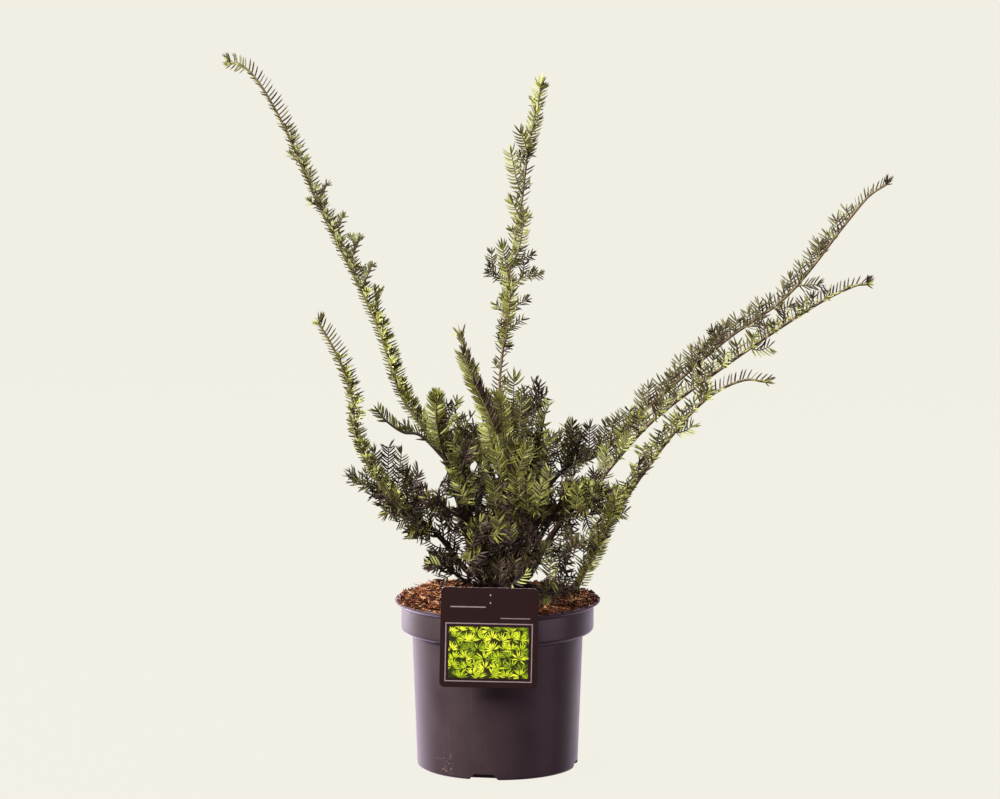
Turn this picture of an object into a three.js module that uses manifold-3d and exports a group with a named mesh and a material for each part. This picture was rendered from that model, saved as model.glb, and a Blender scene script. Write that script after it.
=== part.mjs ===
// A dwarf japanese yew in its round nursery pot, with its label card.
// Millimetres, +Z up, origin at the middle of the pot's flat underside. The wide face looks to -Y.

import * as THREE from 'three';
import { mergeVertices } from 'three/addons/utils/BufferGeometryUtils.js';
import Module from 'manifold-3d';

const wasm = await Module();
wasm.setup();

// Clearance between neighbouring pieces.
const gap = 0.3;

// The pot: a thin moulded wall with a wide band under a flared lip.
const pot = {
  height: 186,
  baseRadius: 88.6,
  baseCorner: 3.5,
  shoulderRadius: 94.3,
  shoulderHeight: 149,
  bandRadius: 106,
  bandFoot: 156,
  bandTop: 180,
  lipRadius: 113,
  lipThickness: 2.4,
  wall: 1.6,
  floor: 2.6,
  segments: 32,
};

// Four drain notches in the foot of the pot, each under a small pocket with a drain hole.
const notch = {
  count: 4,
  firstAngle: 260,
  topWidth: 21,
  bottomWidth: 34,
  height: 7,
  innerRadius: 74,
  pocketWall: 1.8,
  holeRadius: 4,
  holeRadiusFromAxis: 79,
};

// The peat: a low mound that is flat where the trunk stands.
const soil = {
  crownHeight: 191,
  flatRadius: 30,
  midRadius: 70,
  midHeight: 187,
  edgeHeight: 178.5,
  bump: 1.6,
};

// The card hangs before the pot on a bent strip that goes over the lip into the peat.
const card = {
  width: 106,
  height: 110,
  thickness: 0.8,
  cornerRadius: 5.5,
  centreX: -9,
  centreZ: 163.8,
  backY: -114.4,
  rollDegrees: -1.2,
};
const strip = {
  width: 14,
  thickness: 1,
  topZ: 214,
  legY: -102,
  legFootZ: 160,
};

// The trunk: a short stump with a root flare, forked low into three arms.
const trunk = {
  centreX: 5,
  lean: 1.5,
  flareRadius: 19,
  neckRadius: 12,
  neckHeight: 6,
  stumpHeight: 18,
  lobes: 5,
  lobeDepth: 0.13,
  sides: 9,
  armSides: 6,
  arms: [
    { path: [[4, 0, 202], [-12, 0, 206], [-25, -1, 217]], foot: 9, tip: 6.6 },
    { path: [[7, 1, 202], [7, 1, 211], [7, 2, 221]], foot: 9.5, tip: 7.6 },
    { path: [[8, 0, 202], [23, -1, 206], [36, -2, 217]], foot: 9, tip: 6.6 },
  ],
};

// Boughs: way-points from inside the trunk to the tip, and the radius at the foot and the tip.
const boughs = {
  left_bough: {
    path: [[-23, 0, 213], [-34, 8, 258], [-49, 14, 314], [-61, 18, 347]],
    foot: 5.2,
    tip: 2.8,
  },
  low_left_bough: {
    path: [[-8, -4, 203], [-33, -20, 220], [-66, -24, 262], [-100, -29, 290]],
    foot: 4.6,
    tip: 2.6,
  },
  inner_left_bough: { path: [[-17, -2, 211], [-16, -13, 238], [-33, -12, 288]], foot: 3.8, tip: 2.4 },
  back_left_bough: { path: [[-13, 2, 207], [-20, 25, 227], [-22, 62, 264]], foot: 4.2, tip: 2.6 },
  leader_bough: { path: [[6, 4, 217], [6, 9, 262], [8, 11, 320], [6, 10, 372]], foot: 5.6, tip: 3.2 },
  second_bough: { path: [[6, -2, 211], [-1, -15, 250], [6, -20, 318]], foot: 4.2, tip: 2.6 },
  front_bough: { path: [[6, -3, 207], [8, -22, 209], [10, -40, 213]], foot: 4.4, tip: 3 },
  back_bough: { path: [[6, 5, 208], [2, 36, 218], [4, 70, 236]], foot: 4.2, tip: 2.6 },
  right_upper_bough: {
    path: [[22, 2, 207], [34, 20, 246], [56, 30, 306], [84, 36, 331]],
    foot: 5,
    tip: 3,
  },
  right_middle_bough: {
    path: [[35, -2, 214], [54, -14, 250], [78, -24, 286], [106, -32, 312]],
    foot: 4.8,
    tip: 2.8,
  },
  right_low_bough: {
    path: [[14, -6, 203], [40, -29, 204], [64, -48, 204], [84, -60, 209]],
    foot: 4.2,
    tip: 2.8,
  },
  right_inner_bough: { path: [[25, -3, 208], [36, -23, 234], [50, -36, 266]], foot: 3.8, tip: 2.5 },
  back_right_bough: { path: [[11, 5, 213], [23, 34, 238], [34, 64, 268]], foot: 4.2, tip: 2.6 },
  centre_right_bough: { path: [[11, -1, 210], [23, -3, 256], [23, 1, 316]], foot: 4, tip: 2.5 },
  low_front_bough: { path: [[0, -6, 203], [-18, -25, 205], [-38, -34, 213]], foot: 3.8, tip: 2.6 },
};

// Masses of needles. from: the bough, and how far before its tip the stem leaves it.
// path: where the stem goes. twigs and reach: how many twigs it bears, and how long the first is.
const masses = {
  left_long_whip: {
    from: ['left_bough', 0], twigs: 3, reach: 24, seed: 11,
    path: [
      [-105, 22, 407], [-131, 28, 483], [-164, 32, 553], [-198, 38, 621],
      [-232, 42, 699], [-259, 44, 748], [-278, 45, 768], [-290, 46, 772],
    ],
  },
  left_side_spray: {
    from: ['left_bough', 9], twigs: 1, reach: 22, seed: 12,
    path: [[-100, 8, 362], [-128, 2, 392]],
  },
  left_club: {
    from: ['left_bough', 5], twigs: 2, reach: 26, seed: 13,
    path: [[-64, -12, 374], [-67, -34, 412]],
  },
  left_upright_spray: {
    from: ['left_bough', 14], twigs: 2, reach: 24, seed: 14,
    path: [[-44, 30, 370], [-47, 28, 402]],
  },
  left_inner_upper_spray: {
    from: ['left_bough', 26], twigs: 2, reach: 26, seed: 15,
    path: [[-30, 10, 348], [-24, 8, 384]],
  },
  left_short_whip: {
    from: ['low_left_bough', 0], twigs: 2, reach: 24, seed: 21,
    path: [[-132, -46, 328], [-154, -50, 372], [-158, -46, 414], [-173, -44, 459], [-194, -41, 497]],
  },
  left_low_spray: {
    from: ['low_left_bough', 7], twigs: 3, reach: 34, seed: 22,
    path: [[-120, -16, 298], [-142, -18, 314], [-162, -22, 330]],
  },
  left_front_spray: {
    from: ['low_left_bough', 10], twigs: 3, reach: 34, seed: 23,
    path: [[-106, -54, 284], [-120, -74, 288]],
  },
  left_mid_spray: {
    from: ['low_left_bough', 16], twigs: 3, reach: 36, seed: 24,
    path: [[-94, -8, 318], [-100, -6, 346]],
  },
  left_under_spray: {
    from: ['low_left_bough', 34], twigs: 3, reach: 30, seed: 25,
    path: [[-84, -48, 262], [-96, -66, 258]],
  },
  low_left_tuft: {
    from: ['low_front_bough', 0], twigs: 3, reach: 30, seed: 31,
    path: [[-56, -46, 229], [-74, -56, 242]],
  },
  low_front_tuft: {
    from: ['low_front_bough', 6], twigs: 2, reach: 28, seed: 32,
    path: [[-32, -58, 222], [-34, -86, 232]],
  },
  inner_left_spray: {
    from: ['inner_left_bough', 0], twigs: 3, reach: 32, seed: 41,
    path: [[-36, -26, 326], [-36, -34, 366]],
  },
  inner_side_spray: {
    from: ['inner_left_bough', 8], twigs: 2, reach: 28, seed: 42,
    path: [[-20, 0, 318], [-14, -4, 362]],
  },
  inner_outer_spray: {
    from: ['inner_left_bough', 16], twigs: 3, reach: 34, seed: 43,
    path: [[-54, -32, 292], [-66, -44, 318]],
  },
  leader_whip: {
    from: ['leader_bough', 0], twigs: 4, reach: 26, seed: 51,
    path: [[2, 12, 422], [8, 14, 482], [13, 16, 548], [25, 18, 614], [35, 20, 691], [49, 22, 750]],
  },
  centre_column: {
    from: ['leader_bough', 14], twigs: 3, reach: 26, seed: 52,
    path: [[8, -18, 382], [-2, -34, 414]],
  },
  second_whip: {
    from: ['second_bough', 0], twigs: 2, reach: 24, seed: 61,
    path: [[2, -38, 350], [-8, -44, 386], [-24, -42, 418], [-34, -40, 458], [-45, -42, 484]],
  },
  centre_front_spray: {
    from: ['second_bough', 8], twigs: 3, reach: 32, seed: 62,
    path: [[22, -42, 338], [24, -60, 372]],
  },
  centre_right_spray: {
    from: ['centre_right_bough', 0], twigs: 3, reach: 30, seed: 71,
    path: [[28, 4, 372], [45, 6, 424]],
  },
  centre_right_front: {
    from: ['centre_right_bough', 8], twigs: 3, reach: 30, seed: 72,
    path: [[42, -18, 350], [54, -24, 408]],
  },
  right_upper_whip: {
    from: ['right_upper_bough', 0], twigs: 4, reach: 38, seed: 81,
    path: [
      [115, 40, 344], [177, 44, 402], [251, 50, 466], [321, 54, 517],
      [382, 58, 593], [408, 60, 624], [428, 60, 638],
    ],
  },
  right_upper_tuft: {
    from: ['right_upper_bough', 10], twigs: 2, reach: 32, seed: 82,
    path: [[80, 46, 352], [84, 44, 376]],
  },
  right_outer_tuft: {
    from: ['right_upper_bough', 24], twigs: 3, reach: 34, seed: 83,
    path: [[74, 6, 330], [96, -2, 352]],
  },
  right_middle_whip: {
    from: ['right_middle_bough', 0], twigs: 4, reach: 34, seed: 91,
    path: [
      [126, -34, 340], [175, -38, 391], [266, -42, 458], [343, -44, 512],
      [384, -44, 538], [400, -44, 541],
    ],
  },
  right_middle_tuft: {
    from: ['right_middle_bough', 12], twigs: 3, reach: 32, seed: 92,
    path: [[104, -60, 306], [102, -84, 322]],
  },
  right_under_spray: {
    from: ['right_middle_bough', 30], twigs: 3, reach: 32, seed: 93,
    path: [[102, -12, 282], [128, -8, 290]],
  },
  right_low_whip: {
    from: ['right_low_bough', 0], twigs: 4, reach: 32, seed: 101,
    path: [
      [105, -66, 243], [135, -71, 300], [188, -74, 374], [228, -72, 417],
      [265, -68, 436], [290, -64, 436],
    ],
  },
  right_low_tuft: {
    from: ['right_low_bough', 14], twigs: 3, reach: 26, seed: 102,
    path: [[64, -76, 206], [50, -92, 208]],
  },
  right_inner_spray: {
    from: ['right_inner_bough', 0], twigs: 3, reach: 34, seed: 111,
    path: [[66, -54, 298], [76, -64, 334]],
  },
  right_centre_spray: {
    from: ['right_inner_bough', 7], twigs: 3, reach: 34, seed: 112,
    path: [[36, -50, 286], [36, -70, 318]],
  },
  right_front_tuft: {
    from: ['right_inner_bough', 14], twigs: 3, reach: 32, seed: 113,
    path: [[70, -56, 248], [88, -76, 262]],
  },
  front_low_tuft: {
    from: ['front_bough', 0], twigs: 3, reach: 28, seed: 121,
    path: [[11, -66, 220], [12, -88, 230]],
  },
  front_left_spray: {
    from: ['front_bough', 6], twigs: 3, reach: 36, seed: 122,
    path: [[-12, -54, 244], [-22, -84, 284]],
  },
  front_right_spray: {
    from: ['front_bough', 12], twigs: 3, reach: 34, seed: 123,
    path: [[26, -44, 238], [36, -84, 262]],
  },
  back_left_spray: {
    from: ['back_left_bough', 0], twigs: 3, reach: 36, seed: 131,
    path: [[-30, 80, 304], [-34, 92, 340]],
  },
  back_left_low_spray: {
    from: ['back_left_bough', 10], twigs: 3, reach: 40, seed: 132,
    path: [[-50, 78, 262], [-86, 92, 282]],
  },
  back_right_spray: {
    from: ['back_right_bough', 0], twigs: 3, reach: 36, seed: 141,
    path: [[46, 80, 306], [52, 90, 342]],
  },
  back_right_low_spray: {
    from: ['back_right_bough', 10], twigs: 3, reach: 40, seed: 142,
    path: [[70, 80, 266], [110, 88, 292]],
  },
  back_spray: {
    from: ['back_bough', 0], twigs: 3, reach: 40, seed: 151,
    path: [[12, 102, 264], [10, 128, 304]],
  },
};

// How a stem branches: twigs leave it at a steady turn, and bend upwards.
const branching = {
  turnDegrees: 137.5,
  angleDegrees: 46,
  firstShare: 0.2,
  lastShare: 0.86,
  shortening: 0.5,
  rise: 0.5,
  stemFootRadius: 2.1,
  stemTipRadius: 1.6,
  twigRootRadius: 0.6,
  twigFootRadius: 1.6,
  twigTipRadius: 1.3,
};

// Needles stand in pairs, each pair one slim body that passes through its twig.
const needles = {
  lengths: [24, 19, 14],
  width: 5.6,
  thickness: 0.6,
  angleDegrees: 58,
  tipAngleDegrees: 34,
  stemStep: 22,
  twigStep: 24,
  lift: 0.8,
  clearance: 4.2,
  limbClearance: 1.6,
};

const up = new THREE.Vector3(0, 0, 1);
const vector = (point) => new THREE.Vector3(...point);
const radians = THREE.MathUtils.degToRad;

// Random numbers that are the same on each run.
function seededRandom(seed) {
  let state = seed;
  return () => {
    state = (Math.imul(state, 1664525) + 1013904223) >>> 0;
    return state / 4294967296;
  };
}

// A closed mesh as a solid: only positions, shared vertices merged, needless triangles dropped.
function toSolid(geometry) {
  const bare = geometry.clone();
  bare.deleteAttribute('normal');
  bare.deleteAttribute('uv');
  const merged = mergeVertices(bare, 1e-4);
  const index = merged.index.array;
  const triangles = [];
  for (let i = 0; i < index.length; i += 3) {
    const [a, b, c] = index.subarray(i, i + 3);
    if (a !== b && b !== c && c !== a) {
      triangles.push(a, b, c);
    }
  }
  return new wasm.Manifold(new wasm.Mesh({
    numProp: 3,
    vertProperties: new Float32Array(merged.attributes.position.array),
    triVerts: new Uint32Array(triangles),
  }));
}

function toGeometry(solid) {
  const mesh = solid.getMesh();
  const geometry = new THREE.BufferGeometry();
  geometry.setAttribute('position', new THREE.BufferAttribute(mesh.vertProperties, 3));
  geometry.setIndex(new THREE.BufferAttribute(mesh.triVerts, 1));
  return geometry;
}

// The largest of a solid's separate bodies.
function mainBody(solid) {
  const bodies = solid.decompose();
  return bodies.reduce((best, body) => (body.volume() > best.volume() ? body : best));
}

// A body turned round the Z axis from an outline of [radius, height] points.
function turned(outline, segments) {
  const profile = outline.map(([radius, height]) => new THREE.Vector2(radius, height));
  const geometry = new THREE.LatheGeometry(profile, segments);
  geometry.rotateX(Math.PI / 2);
  return geometry;
}

// A smooth path through way-points, as a list of points.
function smoothPath(points, stepsPerSpan) {
  const curve = new THREE.CatmullRomCurve3(points, false, 'catmullrom', 0.5);
  return curve.getPoints((points.length - 1) * stepsPerSpan);
}

// The point and direction at a distance along a path.
function placeOnPath(path, distance) {
  let left = distance;
  for (let i = 1; i < path.length; i += 1) {
    const span = path[i].distanceTo(path[i - 1]);
    if (left <= span || i === path.length - 1) {
      const tangent = path[i].clone().sub(path[i - 1]).normalize();
      return { point: path[i - 1].clone().addScaledVector(tangent, left), tangent };
    }
    left -= span;
  }
  return null;
}

function pathLength(path) {
  return path.slice(1).reduce((sum, point, i) => sum + point.distanceTo(path[i]), 0);
}

// Two directions square to a shoot: one level, and one as far upwards as it goes.
function crossDirections(tangent) {
  const level = tangent.clone().cross(up);
  if (level.length() < 0.05) {
    level.set(1, 0, 0);
  }
  level.normalize();
  const rising = level.clone().cross(tangent).normalize();
  return { level, rising };
}

// A tapering limb along a path. radiusAt gives the radius for a share of the way and an angle.
function limbGeometry(path, radiusAt, sides) {
  const positions = [];
  const triangles = [];
  let side = crossDirections(path[1].clone().sub(path[0]).normalize()).level;
  const last = (path.length - 1) * sides;
  for (let i = 0; i < path.length; i += 1) {
    const before = path[Math.max(i - 1, 0)];
    const after = path[Math.min(i + 1, path.length - 1)];
    const tangent = after.clone().sub(before).normalize();
    side = side.clone().addScaledVector(tangent, -side.dot(tangent)).normalize();
    const other = tangent.clone().cross(side);
    for (let k = 0; k < sides; k += 1) {
      const angle = (2 * Math.PI * k) / sides;
      const radius = radiusAt(i / (path.length - 1), angle);
      const point = path[i].clone();
      point.addScaledVector(side, radius * Math.cos(angle));
      point.addScaledVector(other, radius * Math.sin(angle));
      positions.push(...point);
    }
  }
  for (let k = 0; k < sides; k += 1) {
    const next = (k + 1) % sides;
    for (let a = 0; a < last; a += sides) {
      triangles.push(a + k, a + next, a + sides + next, a + k, a + sides + next, a + sides + k);
    }
  }
  for (let k = 1; k < sides - 1; k += 1) {
    triangles.push(0, k + 1, k, last, last + k, last + k + 1);
  }
  const geometry = new THREE.BufferGeometry();
  geometry.setAttribute('position', new THREE.BufferAttribute(new Float32Array(positions), 3));
  geometry.setIndex(triangles);
  return geometry;
}

// A plain tapering limb. With extra it is that much thicker and longer at its tip.
function taperedLimb(path, footRadius, tipRadius, sides, extra) {
  const longer = [...path];
  const tip = path[path.length - 1];
  longer[path.length - 1] = tip.clone().add(tip.clone().sub(path[path.length - 2]).setLength(1e-6 + extra));
  const radiusAt = (share) => THREE.MathUtils.lerp(footRadius, tipRadius, share) + extra;
  return toSolid(limbGeometry(longer, radiusAt, sides));
}

// A three-sided twig, thick enough all along to hold the roots of its needles.
// Its first ring may be slimmer, so that it stays hidden inside the stem it springs from.
function twigSolid(path, footRadius, tipRadius, rootRadius = footRadius) {
  const taper = (share) => THREE.MathUtils.lerp(footRadius, tipRadius, share);
  const radiusAt = (share) => (share === 0 ? rootRadius : taper(share));
  return toSolid(limbGeometry(path, radiusAt, 3));
}

// The pot's outline outside, from the middle of its underside to the top of its lip.
function potOutside() {
  return [
    [0, 0],
    [pot.baseRadius - pot.baseCorner, 0],
    [pot.baseRadius, pot.baseCorner],
    [pot.shoulderRadius, pot.shoulderHeight],
    [pot.bandRadius - 3, pot.shoulderHeight + 2.5],
    [pot.bandRadius, pot.bandFoot],
    [pot.bandRadius, pot.bandTop],
    [pot.lipRadius, pot.height - pot.lipThickness],
    [pot.lipRadius, pot.height],
  ];
}

// The pot's outline inside, grown or shrunk by a clearance.
function potInside(clearance) {
  const wall = pot.wall + clearance;
  return [
    [pot.bandRadius - wall, pot.bandTop + 1],
    [pot.bandRadius - wall, pot.bandFoot],
    [pot.bandRadius - wall - 2, pot.shoulderHeight + 3.4 + clearance],
    [pot.shoulderRadius - wall, pot.shoulderHeight + 1.4 + clearance],
    [pot.baseRadius - wall, pot.floor + clearance],
    [0, pot.floor + clearance],
  ];
}

// A wedge across the foot of the pot, wider at the bottom, pointing away from the axis.
function notchWedge(extra) {
  const top = notch.topWidth / 2 + extra;
  const bottom = notch.bottomWidth / 2 + extra;
  const face = new THREE.Shape();
  face.moveTo(-bottom, -1);
  face.lineTo(bottom, -1);
  face.lineTo(top, notch.height + extra);
  face.lineTo(-top, notch.height + extra);
  const depth = pot.lipRadius - notch.innerRadius + extra;
  const wedge = new THREE.ExtrudeGeometry(face, { depth, bevelEnabled: false });
  wedge.rotateX(Math.PI / 2);
  wedge.rotateZ(Math.PI);
  wedge.translate(0, notch.innerRadius - extra, 0);
  return wedge;
}

function aroundPot(geometry, number) {
  const angle = notch.firstAngle - 90 + (360 / notch.count) * number;
  return toSolid(geometry.clone().rotateZ(radians(angle)));
}

function makePot() {
  const lipInside = [pot.bandRadius - pot.wall + 3, pot.height];
  let solid = toSolid(turned([...potOutside(), lipInside, ...potInside(0)], pot.segments));
  const body = toSolid(turned([...potOutside(), [0, pot.height]], pot.segments));
  const hole = new THREE.CylinderGeometry(notch.holeRadius, notch.holeRadius, 8, 10);
  hole.rotateX(Math.PI / 2);
  hole.translate(0, notch.holeRadiusFromAxis, notch.height);
  for (let i = 0; i < notch.count; i += 1) {
    solid = solid.add(aroundPot(notchWedge(notch.pocketWall), i).intersect(body));
    solid = solid.subtract(aroundPot(notchWedge(0), i));
    solid = solid.subtract(aroundPot(hole, i));
  }
  return solid;
}

// Height of the peat's surface at a distance from the pot's axis.
function soilHeight(radius) {
  if (radius < soil.flatRadius) {
    return soil.crownHeight;
  }
  if (radius < soil.midRadius) {
    const share = (radius - soil.flatRadius) / (soil.midRadius - soil.flatRadius);
    return THREE.MathUtils.lerp(soil.crownHeight, soil.midHeight, share);
  }
  const share = (radius - soil.midRadius) / (pot.bandRadius - pot.wall - soil.midRadius);
  return THREE.MathUtils.lerp(soil.midHeight, soil.edgeHeight, Math.min(share, 1));
}

function makeSoil() {
  const edge = pot.bandRadius - pot.wall - gap;
  const inside = potInside(gap).slice(1).reverse();
  const surface = [edge, 96, 84, soil.midRadius, 50, soil.flatRadius, 0];
  const outline = [...inside, ...surface.map((radius) => [radius, soilHeight(radius)])];
  const geometry = turned(outline, pot.segments);
  const position = geometry.attributes.position;
  for (let i = 0; i < position.count; i += 1) {
    const x = position.getX(i);
    const y = position.getY(i);
    const z = position.getZ(i);
    const radius = Math.hypot(x, y);
    if (z > soil.edgeHeight + 0.5 && radius > soil.flatRadius + 5) {
      position.setZ(i, z + soil.bump * Math.sin(x / 11 + 1) * Math.cos(y / 13));
    }
  }
  let solid = toSolid(geometry);
  for (let i = 0; i < notch.count; i += 1) {
    solid = solid.subtract(aroundPot(notchWedge(notch.pocketWall + gap), i));
  }
  const slot = new THREE.BoxGeometry(strip.width + 2 * gap, 8, 60);
  slot.translate(card.centreX, strip.legY - 4 + strip.thickness + gap, strip.legFootZ - gap + 30);
  return solid.subtract(toSolid(slot));
}

function makeCard() {
  const x = card.width / 2;
  const z = card.height / 2;
  const r = card.cornerRadius;
  const face = new THREE.Shape();
  face.moveTo(-x + r, -z);
  face.lineTo(x - r, -z);
  face.absarc(x - r, -z + r, r, -Math.PI / 2, 0);
  face.lineTo(x, z - r);
  face.absarc(x - r, z - r, r, 0, Math.PI / 2);
  face.lineTo(-x + r, z);
  face.absarc(-x + r, z - r, r, Math.PI / 2, Math.PI);
  face.lineTo(-x, -z + r);
  face.absarc(-x + r, -z + r, r, Math.PI, 1.5 * Math.PI);
  return new THREE.ExtrudeGeometry(face, { depth: card.thickness, bevelEnabled: false, curveSegments: 3 });
}

// The strip's side outline: up behind the card, back over the lip, and down inside the wall.
function makeStrip() {
  const t = strip.thickness;
  const front = card.backY + gap;
  const overLip = pot.height + gap;
  const outline = [
    [front, strip.topZ],
    [front, overLip],
    [strip.legY, overLip],
    [strip.legY, strip.legFootZ],
    [strip.legY + t, strip.legFootZ],
    [strip.legY + t, overLip + t],
    [front + t, overLip + t],
    [front + t, strip.topZ],
  ];
  const face = new THREE.Shape(outline.map(([y, z]) => new THREE.Vector2(y, z)));
  const geometry = new THREE.ExtrudeGeometry(face, { depth: strip.width, bevelEnabled: false });
  geometry.rotateX(Math.PI / 2);
  geometry.rotateZ(Math.PI / 2);
  geometry.translate(card.centreX - strip.width / 2, 0, 0);
  return toSolid(geometry);
}

// The trunk, or with extra the space that its neighbours keep out of.
function makeTrunk(extra) {
  const foot = soil.crownHeight + gap;
  const height = trunk.stumpHeight + extra;
  const stump = [-0.2, 0.1, 0.4, 1].map((share) => new THREE.Vector3(
    trunk.centreX + trunk.lean * share,
    0,
    foot + height * share,
  ));
  const radiusAt = (share, angle) => {
    const flare = Math.exp((-share * trunk.stumpHeight) / trunk.neckHeight);
    const lobe = 1 + trunk.lobeDepth * flare * Math.cos(trunk.lobes * angle);
    return THREE.MathUtils.lerp(trunk.neckRadius, trunk.flareRadius, flare) * lobe + extra;
  };
  let solid = toSolid(limbGeometry(stump, radiusAt, trunk.sides));
  for (const arm of trunk.arms) {
    const path = smoothPath(arm.path.map(vector), 2);
    solid = solid.add(taperedLimb(path, arm.foot, arm.tip, trunk.armSides, extra));
  }
  const below = new THREE.BoxGeometry(80, 80, 40);
  below.translate(trunk.centreX, 0, foot - 20 - extra);
  return solid.subtract(toSolid(below));
}

function boughPath(name) {
  return smoothPath(boughs[name].path.map(vector), 2);
}

function makeBough(name, extra) {
  const bough = boughs[name];
  return taperedLimb(boughPath(name), bough.foot, bough.tip, 5, extra);
}

// A stem's path, from inside its bough to its own tip.
function stemPath(name) {
  const [boughName, before] = masses[name].from;
  const along = boughPath(boughName);
  const foot = placeOnPath(along, pathLength(along) - before - 1).point;
  const points = [foot, ...masses[name].path.map(vector)];
  return smoothPath(points, points.length > 4 ? 1 : 2);
}

const stems = Object.fromEntries(Object.keys(masses).map((name) => [name, stemPath(name)]));

function distanceToPath(point, path) {
  const nearest = new THREE.Vector3();
  const line = new THREE.Line3();
  let best = Infinity;
  for (let i = 1; i < path.length; i += 1) {
    line.set(path[i - 1], path[i]).closestPointToPoint(point, true, nearest);
    best = Math.min(best, nearest.distanceTo(point));
  }
  return best;
}

const limbs = [
  ...trunk.arms.map((arm) => ({ path: arm.path.map(vector), radius: arm.foot })),
  ...Object.keys(boughs).map((name) => ({ path: boughPath(name), radius: boughs[name].foot })),
];

// Whether a point is clear of the limbs, the peat, the pot and the card.
function isClear(point) {
  const radius = Math.hypot(point.x, point.y);
  if (point.z < soilHeight(radius) + 4) {
    return false;
  }
  const besideCard = Math.abs(point.x - card.centreX) > card.width / 2 + 4;
  if (!besideCard && point.z < strip.topZ + 8 && point.y < card.backY + 12) {
    return false;
  }
  const reach = needles.limbClearance;
  return limbs.every((limb) => distanceToPath(point, limb.path) > limb.radius + reach);
}

// Whether a point lies in a mass's own space: nearer to its stem than to any other.
function inOwnSpace(point, name) {
  const own = distanceToPath(point, stems[name]) + needles.clearance;
  return Object.keys(stems).every((other) => other === name || distanceToPath(point, stems[other]) > own);
}

function mayHold(points, name) {
  return points.every((point) => isClear(point) && inOwnSpace(point, name));
}

// The twigs of a mass, each a short path that leaves the stem and bends upwards.
function twigPaths(name) {
  const mass = masses[name];
  const stem = stems[name];
  const random = seededRandom(mass.seed);
  const length = pathLength(stem);
  const paths = [];
  for (let i = 0; i < mass.twigs; i += 1) {
    const share = (i + 0.35 + 0.3 * random()) / mass.twigs;
    const at = THREE.MathUtils.lerp(branching.firstShare, branching.lastShare, share);
    const { point, tangent } = placeOnPath(stem, length * at);
    const { level, rising } = crossDirections(tangent);
    const turn = radians(branching.turnDegrees * i + 40 * random());
    const reach = mass.reach * (1 - branching.shortening * share) * (0.85 + 0.3 * random());
    const angle = radians(branching.angleDegrees);
    const start = tangent.clone().multiplyScalar(Math.cos(angle));
    start.addScaledVector(level, Math.sin(angle) * Math.cos(turn));
    start.addScaledVector(rising, Math.sin(angle) * Math.sin(turn));
    const end = start.clone().addScaledVector(up, branching.rise).normalize();
    const middle = point.clone().addScaledVector(start, reach / 2);
    const tip = middle.clone().addScaledVector(end, reach / 2);
    if (mayHold([middle, tip], name)) {
      paths.push([point, middle, tip]);
    }
  }
  return paths;
}

// The tip of one needle, as long as its space allows, or null.
function needleTip(point, tangent, outward, angleDegrees, name) {
  const angle = radians(angleDegrees);
  const direction = tangent.clone().multiplyScalar(Math.cos(angle));
  direction.addScaledVector(outward, Math.sin(angle));
  for (const length of needles.lengths) {
    const tip = point.clone().addScaledVector(direction, length);
    const middle = point.clone().addScaledVector(direction, length * 0.55);
    if (mayHold([middle, tip], name)) {
      return tip;
    }
  }
  return null;
}

// One pair of needles: two tips and a ring of three points inside the twig.
function needlePair(point, tangent, turn, angleDegrees, name) {
  const { level, rising } = crossDirections(tangent);
  const leaning = Math.hypot(tangent.x, tangent.y);
  const around = turn * (1 - 0.75 * leaning);
  const across = level.clone().multiplyScalar(Math.cos(around)).addScaledVector(rising, Math.sin(around));
  const lifted = rising.clone().multiplyScalar(needles.lift * leaning);
  const first = needleTip(point, tangent, across.clone().add(lifted).normalize(), angleDegrees, name);
  const second = needleTip(point, tangent, lifted.clone().sub(across).normalize(), angleDegrees, name);
  if (!first && !second) {
    return null;
  }
  const thick = tangent.clone().cross(across).multiplyScalar(needles.thickness);
  const wide = tangent.clone().multiplyScalar(needles.width / 2);
  const corners = [
    first || point.clone().addScaledVector(across, 0.4),
    point.clone().add(wide),
    point.clone().add(thick),
    point.clone().sub(wide),
    second || point.clone().addScaledVector(across, -0.4),
  ];
  const geometry = new THREE.BufferGeometry();
  const positions = new Float32Array(corners.flatMap((corner) => [...corner]));
  geometry.setAttribute('position', new THREE.BufferAttribute(positions, 3));
  const triangles = [];
  for (let k = 0; k < 3; k += 1) {
    const a = 1 + k;
    const b = 1 + ((k + 1) % 3);
    triangles.push(0, b, a, 4, a, b);
  }
  geometry.setIndex(triangles);
  return toSolid(geometry);
}

// Needle pairs along a shoot, each pair turned on from the last, with one pair at its tip.
function needlePairs(path, step, start, name, random) {
  const length = pathLength(path);
  const count = Math.max(1, Math.floor((length - start) / step));
  const pairs = [];
  for (let i = 0; i <= count; i += 1) {
    const atTip = i === count;
    const distance = atTip ? length - 2 : start + step * (i + 0.3 * random());
    const { point, tangent } = placeOnPath(path, Math.min(distance, length - 2));
    const turned = ((branching.turnDegrees * i) % 180) - 90;
    const angle = atTip ? needles.tipAngleDegrees : needles.angleDegrees;
    const pair = needlePair(point, tangent, radians(turned), angle, name);
    if (pair) {
      pairs.push(pair);
    }
  }
  return pairs;
}

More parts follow.
